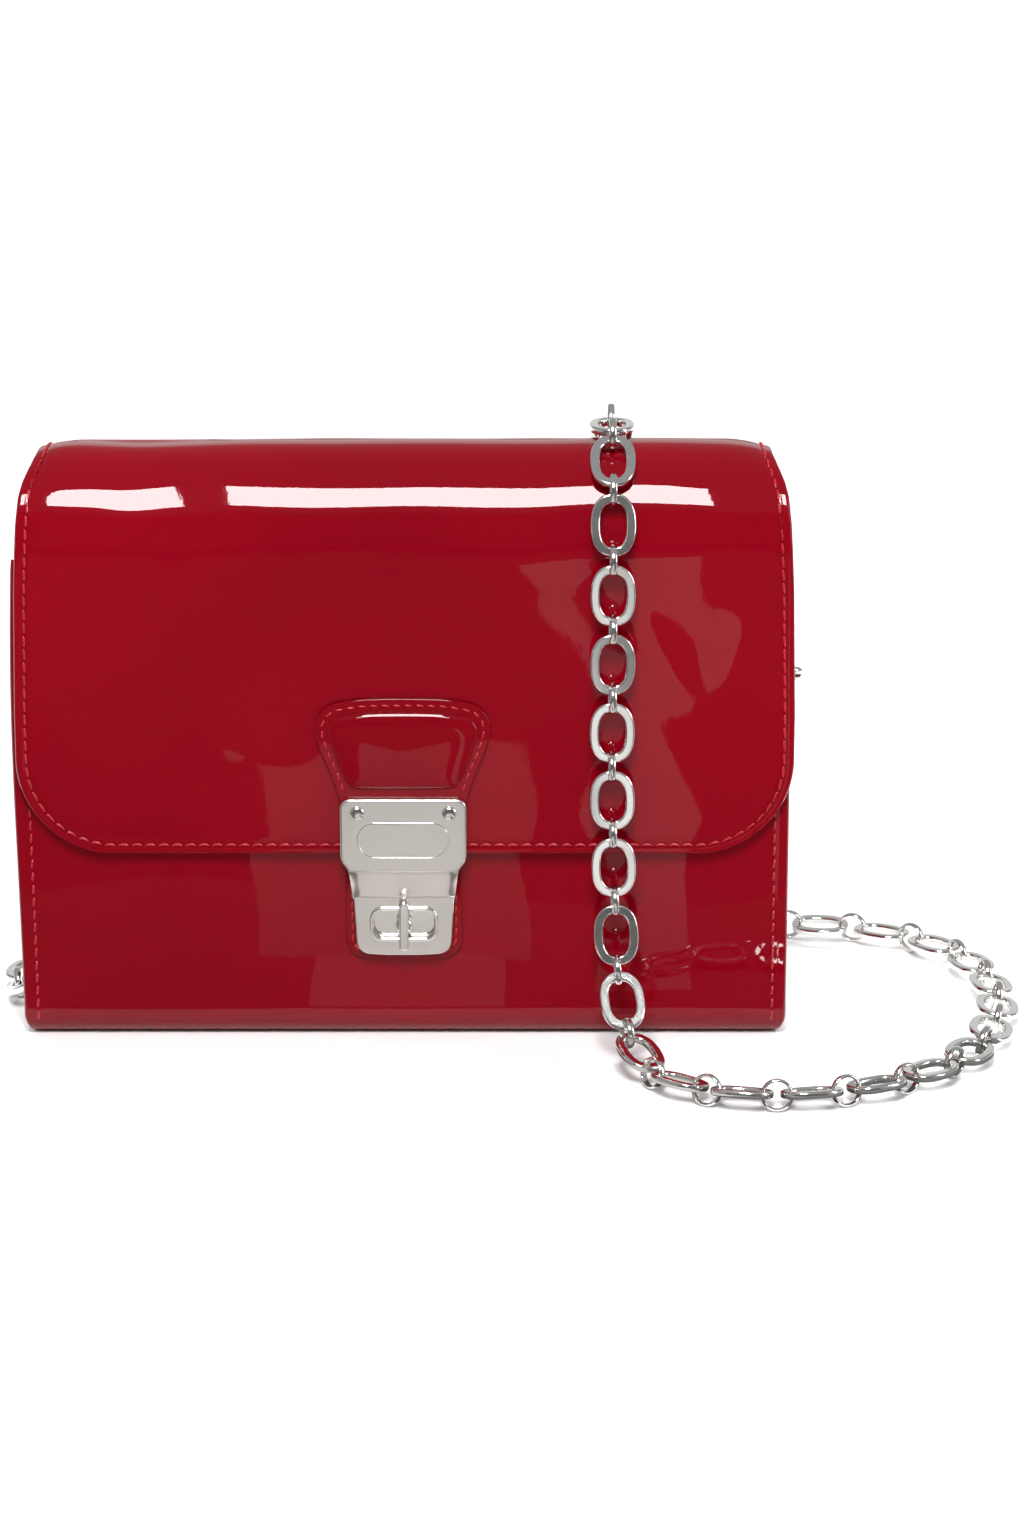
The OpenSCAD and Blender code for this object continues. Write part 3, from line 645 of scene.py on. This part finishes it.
def body_profile():
    """Outer line of the wrap in (y, z): down the front, under the base and up the back."""
    points = [(FRONT_Y, front_high.z)]
    points += [(FRONT_Y, z) for z in np.linspace(front_high.z, EDGE_R, 46)[1:]]
    for t in np.radians(np.linspace(180, 270, 9)[1:]):
        points.append((FRONT_Y + EDGE_R + EDGE_R * math.cos(t), EDGE_R + EDGE_R * math.sin(t)))
    points += [(y, 0) for y in np.linspace(FRONT_Y + EDGE_R, BACK_Y - EDGE_R, 8)[1:]]
    for t in np.radians(np.linspace(270, 360, 9)[1:]):
        points.append((BACK_Y - EDGE_R + EDGE_R * math.cos(t), EDGE_R + EDGE_R * math.sin(t)))
    points += [(BACK_Y, z) for z in np.linspace(EDGE_R, HINGE_Z, 46)[1:]]
    return np.array(points)


def body_half_width(y, z):
    """Half width of the body: narrower at the back and at its bottom corners."""
    corner = np.clip(1 - z / (6 * MM), 0, 1)
    return HALF_W + (BACK_HALF_W - HALF_W) * share_back(y) - 1.6 * MM * corner ** 2


def left_bulge(x, y, z):
    """The left side is a little fuller than the right one, most at its front."""
    rise = np.sin(np.pi * np.clip(z / front_high.z, 0, 1) ** 1.6)
    outer_tenth = np.clip(-x / HALF_W - 0.9, 0, 0.1) * 10
    return -1.3 * MM * rise * outer_tenth * np.clip(1 - share_back(y), 0, 1)


def held_by_lock(x, z):
    """Shallow hollow where the lock holds the front, and the fuller leather under it."""
    return (0.9 * MM * np.exp(-((z - 12 * MM) / (13 * MM)) ** 2) - 0.5 * MM) * np.exp(-(x / (48 * MM)) ** 2)


def groove(distance, depth, line=STITCH_IN, width=0.8 * MM):
    """Hollow that a stitch line presses into leather."""
    return -depth * np.exp(-((distance - line) / width) ** 2)


def add_body():
    profile = body_profile()
    rows = []
    for y, z in profile:
        x = edge_spread(body_half_width(y, z))
        rows.append(np.stack([x, np.full_like(x, y), np.full_like(x, z)], axis=1))
    points = np.array(rows)
    normals = grid_normals(points)
    x, y, z = points[..., 0], points[..., 1], points[..., 2]
    width = body_half_width(y, z)
    calm = np.clip(np.abs(x) / (30 * MM) - 0.75, 0, 1) * np.clip((width - np.abs(x)) / (12 * MM), 0, 1)
    upright = np.clip((z - EDGE_R) / (20 * MM), 0, 1)
    push = soft_waves(x, z, 0.55 * MM) * calm * upright
    beside_lock = np.clip(np.abs(x) / (30 * MM) - 0.6, 0, 1) * (y < FRONT_Y + LEATHER_T)
    push += held_by_lock(x, z) * upright * beside_lock
    push += groove(width - np.abs(x), 0.22 * MM, BODY_STITCH_IN) * np.clip(upright * 4, 0, 1)
    points = points + normals * push[..., None]
    points[..., 0] += left_bulge(x, y, z)
    wrap = make_object("body_wrap", *thick_sheet(points, LEATHER_T), PATENT, "root")
    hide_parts("front_panel", "base_panel", "back_panel")
    front_rows, back_rows = slice(1, 48), slice(-46, -1)
    seams = []
    for side in (-1, 1):
        path = np.array([(side * (body_half_width(y, z) - BODY_STITCH_IN), y, z) for y, z in profile])
        path[:, 0] += left_bulge(path[:, 0], path[:, 1], path[:, 2])
        out = grid_normals(points)[:, 0]
        seams += [stitches(path[part], out[part]) for part in (front_rows, back_rows)]
    thread = make_object("body_stitches", *join_parts(seams), THREAD, "root")


add_body()


# ---------------- gussets

def gusset_line(z):
    """Plan of the right gusset at height z: from the front seam, in to the fold, to the back seam."""
    lift = max(0.0, EDGE_R - z)
    tuck = EDGE_R - LEATHER_T - math.sqrt(max((EDGE_R - LEATHER_T) ** 2 - lift ** 2, 0))
    near_y = FRONT_Y + LEATHER_T + tuck + 0.02 * MM
    far_y = BACK_Y - LEATHER_T - tuck - 0.02 * MM
    seam = 1.2 * MM
    depth = 14.5 * MM
    t = np.linspace(0, 1, 33)
    y = near_y + (far_y - near_y) * t
    straight = HALF_W + (BACK_HALF_W - HALF_W) * share_back(y) - seam
    v = 1 - np.abs(2 * t - 1)
    bend = 1 - np.sqrt((1 - v) ** 2 + 0.012) + math.sqrt(0.012) * (1 - v)
    x = straight - depth * bend
    return np.stack([x, y], axis=1)


def add_gusset(side, name):
    in_corner = np.linspace(LEATHER_T + 0.1 * MM, EDGE_R, 6)
    heights = np.concatenate([in_corner, np.linspace(EDGE_R, gusset_high.z, 40)[1:]])
    rows = []
    for z in heights:
        plan = gusset_line(z)
        wave = 0.5 * MM * math.sin(z * 55) * np.sin(np.linspace(0, 1, len(plan)) * math.pi * 2)
        rows.append(np.stack([side * (plan[:, 0] + wave), plan[:, 1], np.full(len(plan), z)], axis=1))
    points = np.array(rows)
    points[..., 0] += left_bulge(points[..., 0], points[..., 1], points[..., 2])
    if side < 0:
        points = points[:, ::-1]
    gusset = make_object(name, *thick_sheet(points[:, ::-1], 1.4 * MM), GUSSET, "root")
    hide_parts(name.replace("_fold", ""))


add_gusset(-1, "gusset_left_fold")
add_gusset(1, "gusset_right_fold")


# ---------------- flap

def flap_profile():
    """Outer line of the flap in (y, z), from the strip sewn on the back, over the crest, to its end."""
    strip_y = BACK_Y + FLAP_T
    points = [(strip_y, z * MM) for z in (151, 156, 161, 165.5)] + [(strip_y - 0.1 * MM, 169 * MM)]
    for a in range(24, 91, 11):
        t = math.radians(a)
        points.append((BACK_Y * math.cos(t), HINGE_Z + (CREST_Z - HINGE_Z) * math.sin(t)))
    for a in range(99, 181, 9):
        t = math.radians(a)
        points.append((FLAP_Y * -math.cos(t), FOLD_Z + (CREST_Z - FOLD_Z) * math.sin(t)))
    points += [(FLAP_Y, z) for z in np.linspace(FOLD_Z, FLAP_Z, 9)[1:]]
    return catmull(points, 8)


def flap_width(y, z):
    """Half width of the flap at a point of its profile, without its round lower corners."""
    heights = np.array([102.5, 140, 160, 168, 173, 177, 180]) * MM
    widths = np.array([115.5, 114.6, 113.6, 112.8, 111.8, 110.4, 109]) * MM
    return np.where(y > 0, FLAP_TOP_HALF_W, np.interp(z, heights, widths))


def flap_half_width(y, z, to_edge):
    """Half width of the flap with its round lower corners, at a distance from its lower edge."""
    into = np.clip(FLAP_R - to_edge, 0, FLAP_R)
    return flap_width(y, z) - FLAP_R + np.sqrt(FLAP_R ** 2 - into ** 2)


def settled(points):
    """The flap as it lies: a little to the right, and lower at both ends of its crest."""
    out = points.copy()
    ends = np.clip((np.abs(points[..., 0]) - 94 * MM) / (15 * MM), 0, 1) ** 2
    out[..., 2] -= 2.4 * MM * ends * np.clip((points[..., 2] - 168 * MM) / (10 * MM), 0, 1)
    out[..., 0] += FLAP_SHIFT
    return out


def flap_grid():
    """Grid of points on the flap's outer face, and each row's distance from the lower edge."""
    near_side = (0, 0.35, 0.9, 1.5, 2.2, 2.9, 3.6, 4.3, 5.2, 6.2, 7.2, 8.4, 9.6, 11, 13)
    line = flap_profile()
    total = run_length(line)[-1]
    near = np.array([0, 0.35, 0.9, 1.5, 2.2, 2.9, 3.6, 4.3, 5.2]) * MM
    corner = np.arange(6.4, 30, 1.2) * MM
    rest = np.linspace(31.5 * MM, total, 100)
    to_edge = np.concatenate([near, corner, rest])[::-1]
    rows = []
    for (y, z), e in zip(at_lengths(line, total - to_edge), to_edge):
        x = edge_spread(flap_half_width(y, z, e), near_side, 72)
        rows.append(np.stack([x, np.full_like(x, y), np.full_like(x, z)], axis=1))
    return np.array(rows), to_edge


def outline_distance(points, to_edge):
    """Distance from each flap point to the flap's outline, measured in the sheet."""
    e = to_edge[:, None] * np.ones_like(points[..., 0])
    side = flap_width(points[..., 1], points[..., 2]) - np.abs(points[..., 0])
    in_corner = (side < FLAP_R) & (e < FLAP_R)
    round_part = FLAP_R - np.hypot(FLAP_R - side, FLAP_R - e)
    return np.where(in_corner, round_part, np.minimum(side, e))


def crease(x, z, points, width, height):
    """Soft ridge along a line of (x, z) points in millimetres, fading out at both ends."""
    line = catmull(np.array(points) * MM, 12)
    gap = np.min(np.hypot(x[..., None] - line[:, 0], z[..., None] - line[:, 1]), axis=-1)
    return height * np.exp(-(gap / width) ** 2)


def flap_relief(x, y, z):
    """Waves, creases and dents of the flap's leather."""
    push = soft_waves(x, z, 0.6 * MM)
    push += 0.20 * MM * np.sin(x * 104 + 1.3 + 0.8 * np.sin(z * 60)) * np.sin(z * 71 + 0.4)
    push += crease(x, z, [(-74, 151), (-66, 133), (-59, 112), (-56, 92)], 5 * MM, 0.30 * MM)
    push += crease(x, z, [(62, 141), (76, 120), (90, 108), (101, 128)], 7 * MM, 0.28 * MM)
    push += crease(x, z, [(8, 142), (30, 145), (56, 142)], 6 * MM, 0.22 * MM)
    push += crease(x, z, [(-104, 104), (-100, 86)], 4 * MM, 0.2 * MM)
    push -= crease(x, z, [(-78, 171), (-70, 166)], 13 * MM, 0.55 * MM)
    push += crease(x, z, [(-104, 166), (-92, 169)], 9 * MM, 0.30 * MM)
    push += crease(x, z, [(88, 166), (100, 162)], 8 * MM, 0.30 * MM)
    return np.where(y > 8 * MM, soft_waves(x, z, 0.4 * MM), push)


def edge_path():
    """Stitch line round the flap, from top left to top right, with its normals."""
    line = flap_profile()
    lengths = run_length(line)
    total = lengths[-1]
    slope = unit(np.gradient(line, axis=0))
    left = []
    for e in np.linspace(total - 24 * MM, FLAP_R, 90):
        y, z = at_lengths(line, [total - e])[0]
        left.append((-(float(flap_half_width(y, z, e)) - STITCH_IN), e))
    r = FLAP_R - STITCH_IN
    for a in np.linspace(0, 90, 24)[1:]:
        t = math.radians(a)
        left.append((-(FLAP_HALF_W - FLAP_R + r * math.cos(t)), FLAP_R - r * math.sin(t)))
    path, out = [], []
    for x, e in left + [(-x, e) for x, e in left[::-1]]:
        y, z = at_lengths(line, [total - e])[0]
        dy, dz = [np.interp(total - e, lengths, slope[:, k]) for k in range(2)]
        path.append((x, y, z))
        out.append((0, dz, -dy))
    return settled(np.array(path)), np.array(out)


def add_flap():
    points, to_edge = flap_grid()
    normals = grid_normals(points)
    distance = outline_distance(points, to_edge)
    x, y, z = points[..., 0], points[..., 1], points[..., 2]
    calm = np.clip(distance / (12 * MM), 0, 1)
    near_tab = np.exp(-(x / (31 * MM)) ** 4) * np.clip((114 * MM - z) / (12 * MM), 0, 1) * (y < 0)
    push = flap_relief(x, y, z) * calm * (1 - near_tab)
    push += groove(distance, 0.28 * MM)
    points = settled(points + normals * push[..., None])
    skin = make_object("flap_skin", *thick_sheet(points, FLAP_T), PATENT)
    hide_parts("flap_outer")
    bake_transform(skin)

    path, out = edge_path()
    thread = make_object("flap_stitches", *stitches(path, out), THREAD)
    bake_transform(thread)

    seam_z = 0.154
    strip_x = np.linspace(-FLAP_TOP_HALF_W + 3 * MM, FLAP_TOP_HALF_W - 3 * MM, 60)
    strip = np.stack([strip_x, np.full_like(strip_x, BACK_Y + FLAP_T), np.full_like(strip_x, seam_z)], axis=1)
    seam = make_object("back_stitches", *stitches(strip, np.tile([0, 1.0, 0], (60, 1))), THREAD, "root")


def add_flap_lining():
    points, to_edge = flap_grid()
    normals = grid_normals(points)
    keep = points[:, 0, 1] < BACK_Y - 3 * MM
    first = int(np.argmax(keep))
    inner = settled(points - normals * (FLAP_T + 0.05 * MM))[first:]
    verts, faces = thick_sheet(inner, 1.8 * MM, edge=0.28)
    lining = make_object("flap_inner_leather", verts, faces, INNER, "flap")
    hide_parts("flap_lining")


add_flap()
add_flap_lining()


# ---------------- tab above the lock

def smooth_outline(right):
    """Closed smooth outline from the right half's (x, z) in millimetres, from the bottom to the top."""
    points = [(x * MM, z * MM) for x, z in right]
    points += [(-x, z) for x, z in points[::-1]]
    return catmull(points + points[:1], 6)[:-1]


def tab_outline(margin):
    """Keystone outline of the tab, moved in by a margin."""
    smooth = smooth_outline([(16.5, 57.5), (16.8, 64), (18.6, 71), (19.4, 77.5), (21.6, 84.5), (24.6, 92),
                             (26, 97.5), (25.3, 102), (22, 105.6), (16, 107.2), (8, 107.9)])
    ahead = unit(np.roll(smooth, -1, axis=0) - np.roll(smooth, 1, axis=0))
    return smooth + np.stack([-ahead[:, 1], ahead[:, 0]], axis=1) * margin


def pad_outline(share):
    """Outline of the padded middle, drawn in towards its own middle by a share."""
    smooth = smooth_outline([(9, 80.0), (15.4, 80.6), (18, 84), (20.3, 90), (22.2, 96.2), (21.9, 99.8),
                             (19, 102.4), (14, 103.5), (7, 104.1)])
    middle = np.array([0, 92 * MM])
    return middle + (smooth - middle) * (1 - share)


def fine_stitches(path):
    """Row of small stitches on a face that looks straight forward."""
    return stitches(path, np.tile([0, -1.0, 0], (len(path), 1)), 3.4 * MM, 2.5 * MM, 0.32 * MM)


def add_tab():
    base_y = tab_high.y
    face_y = base_y - 1.5 * MM
    verts, faces = flat_plate([tab_outline(0)], base_y, face_y, 0.45 * MM)
    loops = []
    for share in (0, 0.012, 0.03, 0.055, 0.09, 0.13, 0.18, 0.24, 0.32, 0.42, 0.55, 0.7, 0.85, 0.97):
        ring = pad_outline(share)
        rolled_edge = 1.45 * MM * math.sqrt(1 - (1 - min(share / 0.24, 1)) ** 2)
        crown = 0.85 * MM * (1 - (1 - share) ** 2)
        pad_y = np.full(len(ring), base_y - 1.3 * MM - (rolled_edge + crown))
        loops.append(np.stack([ring[:, 0], pad_y, ring[:, 1]], axis=1))
    cols = len(loops[0])
    dome = np.concatenate(loops)
    dome_faces = grid_faces(len(loops), cols, wrap=True)
    dome_faces += [list(range(cols))[::-1], [(len(loops) - 1) * cols + k for k in range(cols)]]
    dome, dome_faces = outward(dome, dome_faces)
    tab = make_object("lock_tab", verts, faces, PATENT_TAB, "flap", flat_faces=True)
    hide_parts("flap_tab")
    pad = make_object("lock_tab_pad", dome, dome_faces, PATENT_TAB, "flap")
    ring = tab_outline(2.1 * MM)
    ring = ring[ring[:, 1] > hasp_high.z + 1.0 * MM]
    path = np.stack([ring[:, 0], np.full(len(ring), face_y), ring[:, 1]], axis=1)
    thread = make_object("tab_stitches", *fine_stitches(path), THREAD, "flap")


add_tab()


# ---------------- lock

def add_patch():
    w, h = patch_high.x - patch_low.x, patch_high.z - patch_low.z
    middle = (patch_low.z + patch_high.z) / 2
    leather = flat_plate([round_outline(w, h, 6 * MM, middle)], patch_high.y, patch_low.y, 0.4 * MM)
    patch = make_object("lock_patch_leather", *leather, PATENT_TAB, "root")
    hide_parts("lock_patch")
    ring = np.array(round_outline(w - 4 * MM, h - 4 * MM, 4.4 * MM, middle))
    ring = np.vstack([ring, ring[:1]])
    path = np.stack([ring[:, 0], np.full(len(ring), patch_low.y), ring[:, 1]], axis=1)
    thread = make_object("patch_stitches", *fine_stitches(path), THREAD, "root")


def upper_plate_outline():
    """The upper plate: round top corners, and lower corners that run in to the sloped band."""
    half, top, r = 18.9 * MM, hasp_high.z, 3.0 * MM
    points = [(x * MM, z * MM) for x, z in ((16.5, 54.7), (16.8, 55.6), (17.6, 56.7), (18.5, 58.0))]
    points.append((half, 59.8 * MM))
    for t in np.radians(np.linspace(0, 90, 9)):
        points.append((half - r + r * math.cos(t), top - r + r * math.sin(t)))
    return points + [(-x, z) for x, z in points[::-1]]


def lower_plate_outline():
    """The lower plate: narrower at the bottom, with round lower corners and a faintly bowed edge."""
    low_w, low_z, r = 14.2 * MM, hasp_low.z + 0.35 * MM, 4.2 * MM
    points = [(15.1 * MM, 46.2 * MM)]
    for t in np.radians(np.linspace(0, -86, 10)):
        points.append((low_w - r + r * math.cos(t), low_z + r + r * math.sin(t)))
    points.append((5 * MM, hasp_low.z + 0.05 * MM))
    return points + [(-x, z) for x, z in points[::-1]]


def add_hasp():
    upper_back = FLAP_Y - 1.4 * MM
    upper_front = upper_back - 2.2 * MM
    low_front = rim_high.y
    upper = flat_plate([upper_plate_outline()], upper_back, upper_front, 0.7 * MM, 5)
    slot = round_outline(18.4 * MM, 8.6 * MM, 3.0 * MM, LOCK_Z)
    lower = flat_plate([lower_plate_outline(), slot[::-1]], low_front + 1.4 * MM, low_front, 0.35 * MM)
    slope = []
    for share in np.linspace(0, 1, 9):
        ease = share * share * (3 - 2 * share)
        half = (16.5 - 1.3 * share) * MM
        y = upper_front + 0.35 * MM + (low_front - upper_front - 0.35 * MM) * ease
        slope.append([(x, y, (56.2 - 11.0 * share) * MM) for x in np.linspace(-half, half, 12)])
    band = thick_sheet(np.array(slope), 1.3 * MM)
    hasp = make_object("hasp", *join_parts([upper, lower, band]), PLATE, "flap", flat_faces=True)
    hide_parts("hasp_plate")
    border_z = 64.6 * MM
    sizes = ((27.6 * MM, 11.4 * MM), (26.4 * MM, 10.2 * MM))
    lines = [round_outline(w, h, h / 2 - 0.1 * MM, border_z, 12) for w, h in sizes]
    border_band = flat_plate(lines, upper_front + 0.1 * MM, upper_front - 0.2 * MM, 0.1 * MM, 2)
    border = make_object("hasp_border", *border_band, NICKEL, "flap")
    frame_line = round_outline(20.6 * MM, 10.8 * MM, 4.0 * MM, LOCK_Z)
    raised_frame = flat_plate([frame_line, slot[::-1]], rim_high.y, rim_low.y, 0.4 * MM, 4)
    rim = make_object("slot_rim", *raised_frame, NICKEL, "flap")
    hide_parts("slot_frame")
    dome = [(0.2, -0.86), (0.9, -0.8), (1.5, -0.62), (1.95, -0.34), (2.15, -0.08), (2.15, 0.02),
            (1.0, 0.05), (1.0, 2.5)]
    profile = [(r * MM, upper_front + y * MM) for r, y in dome]
    rivet_z = (rivets_low.z + rivets_high.z) / 2
    heads = [turned(profile, (x, rivet_z)) for x in (-13.7 * MM, 13.7 * MM)]
    heads = make_object("hasp_rivet_heads", *join_parts(heads), NICKEL, "flap")
    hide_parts("hasp_rivets")


def add_turn_bar():
    w, h = bar_high.x - bar_low.x, bar_high.z - bar_low.z
    middle = (bar_low.z + bar_high.z) / 2
    bar = flat_plate([round_outline(w, h, w / 2 - 0.05 * MM, middle)], bar_high.y, bar_low.y, 0.7 * MM, 5)
    neck_r, collar_r = 1.6 * MM, 2.5 * MM
    collar = turned([(1.7 * MM, bar_low.y + 0.6 * MM), (collar_r, bar_low.y + 0.9 * MM),
                     (collar_r, bar_high.y - 0.1 * MM), (neck_r, bar_high.y), (neck_r, base_plate_low.y)],
                    (0, LOCK_Z))
    piece = make_object("turn_bar_knob", *join_parts([bar, collar]), NICKEL, "turn_bar")
    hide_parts("turn_bar", "lock_spindle")
    outline = round_outline(24 * MM, 14 * MM, 3 * MM, LOCK_Z)
    seen_plate = flat_plate([outline], base_plate_high.y, base_plate_low.y, 0.25 * MM)
    plate = make_object("lock_base", *seen_plate, NICKEL, "root")
    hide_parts("lock_base_plate")


add_patch()
add_hasp()
add_turn_bar()


# ---------------- CAD pieces that keep their shape

FINISHES = {
    "patent_leather": PATENT, "gusset_leather": GUSSET, "lining_leather": INNER, "lining_fabric": LINING,
    "stiffener_board": BOARD, "padding_foam": FOAM, "polished_nickel": NICKEL, "backing_steel": STEEL,
    "chain_steel": CHAIN,
}
for part in frame["record"]["subparts"]:
    node = frame["nodes"][part["node"]]
    node.data.materials.clear()
    node.data.materials.append(FINISHES[part["material_slot"]])


# ---------------- stage

def add_plane(name, corners, material):
    obj = make_object(name, corners, [(0, 1, 2, 3)], material, smooth=False)
    return obj


def matt_material(name, colour, rough=0.6):
    material, nodes, links, shader = new_material(name)
    shader.inputs["Base Color"].default_value = (*colour, 1)
    shader.inputs["Roughness"].default_value = rough
    return material


def glowing_material(name, strength):
    material = matt_material(name, (0, 0, 0), 0.9)
    shader = material.node_tree.nodes["Principled BSDF"]
    shader.inputs["Emission Color"].default_value = (1, 1, 1, 1)
    shader.inputs["Emission Strength"].default_value = strength
    return material


def area_light(name, place, target, size, power):
    data = bpy.data.lights.new(name, "AREA")
    data.shape = "RECTANGLE"
    data.size, data.size_y = size
    data.energy = power
    light = bpy.data.objects.new(name, data)
    bpy.context.scene.collection.objects.link(light)
    light.location = place
    light.rotation_euler = (Vector(target) - Vector(place)).to_track_quat("-Z", "Y").to_euler()
    return light


def floor_corners(far_y, near_y, far_x=(-3, 3), near_x=(-3, 3), height=0.002):
    """Corners of a card that lies on the floor before the bag, which stands at y = 0."""
    return [(far_x[0], far_y, height), (far_x[1], far_y, height),
            (near_x[1], near_y, height), (near_x[0], near_y, height)]


def upright_corners(y, half_width, low, high):
    return [(-half_width, y, low), (half_width, y, low), (half_width, y, high), (-half_width, y, high)]


def add_cards():
    """Cards that only reflections see: a dark floor before the bag, small light ones for the lock and the
    hanging chain, a grey room beyond, and a soft glow behind."""
    dark = matt_material("card_dark_grey", (0.04, 0.04, 0.04), 0.9)
    silver = matt_material("card_silver", (0.36, 0.35, 0.34), 0.9)
    bright = matt_material("card_bright", (0.50, 0.49, 0.48), 0.9)
    near = matt_material("card_near_grey", (0.10, 0.10, 0.10), 0.9)
    far = matt_material("card_far_grey", (0.06, 0.06, 0.06), 0.9)
    grey = matt_material("card_grey", (0.22, 0.22, 0.22), 0.9)
    dim = glowing_material("card_glow", 0.68)
    upper = 0.003
    lock_x, slope_x = (-0.05, 0.038), (-0.03, 0.03)
    for name, corners, tone in (
        ("card_near", floor_corners(-0.15, -0.035), near),
        ("card_dark", floor_corners(-0.36, -0.15), dark),
        ("card_far", floor_corners(-3, -0.36), far),
        ("card_lock", floor_corners(-0.34, -0.09, lock_x, lock_x, upper), silver),
        ("card_slope", floor_corners(-0.09, -0.035, slope_x, slope_x, upper), bright),
        ("card_chain", floor_corners(-0.75, -0.05, (0.070, 0.110), (0.058, 0.088), upper), bright),
        ("card_room", upright_corners(-3, 3, 0, 1.75), grey),
        ("card_back", upright_corners(1.5, 1.8, 0.25, 0.8), dim),
    ):
        card = add_plane(name, corners, tone)
        card.visible_camera = False
        card.visible_diffuse = False
        card.visible_shadow = False
        card.visible_transmission = False


def add_floor():
    """Pale floor, and round it a ring that shines white out to the horizon."""
    white = matt_material("floor_white", (0.92, 0.92, 0.92), 0.55)
    add_plane("floor", [(-8, -8, 0), (8, -8, 0), (8, 8, 0), (-8, 8, 0)], white)
    glow = glowing_material("backdrop_white", 1.1)
    count = 64
    turns = np.linspace(0, 2 * math.pi, count, endpoint=False)
    rim = [np.stack([r * np.cos(turns), r * np.sin(turns), np.full(count, 0.0005)], axis=1)
           for r in (1.25, 30)]
    faces = grid_faces(2, count, flip=True, wrap=True)
    backdrop = make_object("floor_rim", np.concatenate(rim), faces, glow, smooth=False)
    backdrop.visible_diffuse = False
    backdrop.visible_shadow = False


def add_lights():
    world = bpy.data.worlds.new("studio")
    world.use_nodes = True
    world.node_tree.nodes["Background"].inputs["Color"].default_value = (1, 1, 1, 1)
    world.node_tree.nodes["Background"].inputs["Strength"].default_value = 0.32
    bpy.context.scene.world = world
    area_light("strip", (-0.03, -1.0, 1.15), (0, 0, 0.17), (0.42, 0.52), 27)
    back = area_light("back", (0.1, 1.1, 1.5), (0.05, 0.6, 0), (2.4, 1.2), 40)
    back.visible_glossy = False
    area_light("side", (1.25, -0.35, 0.5), (0.1, 0, 0.1), (0.25, 0.7), 5)


add_floor()
add_cards()
add_lights()
bpy.context.scene.view_settings.view_transform = "Standard"
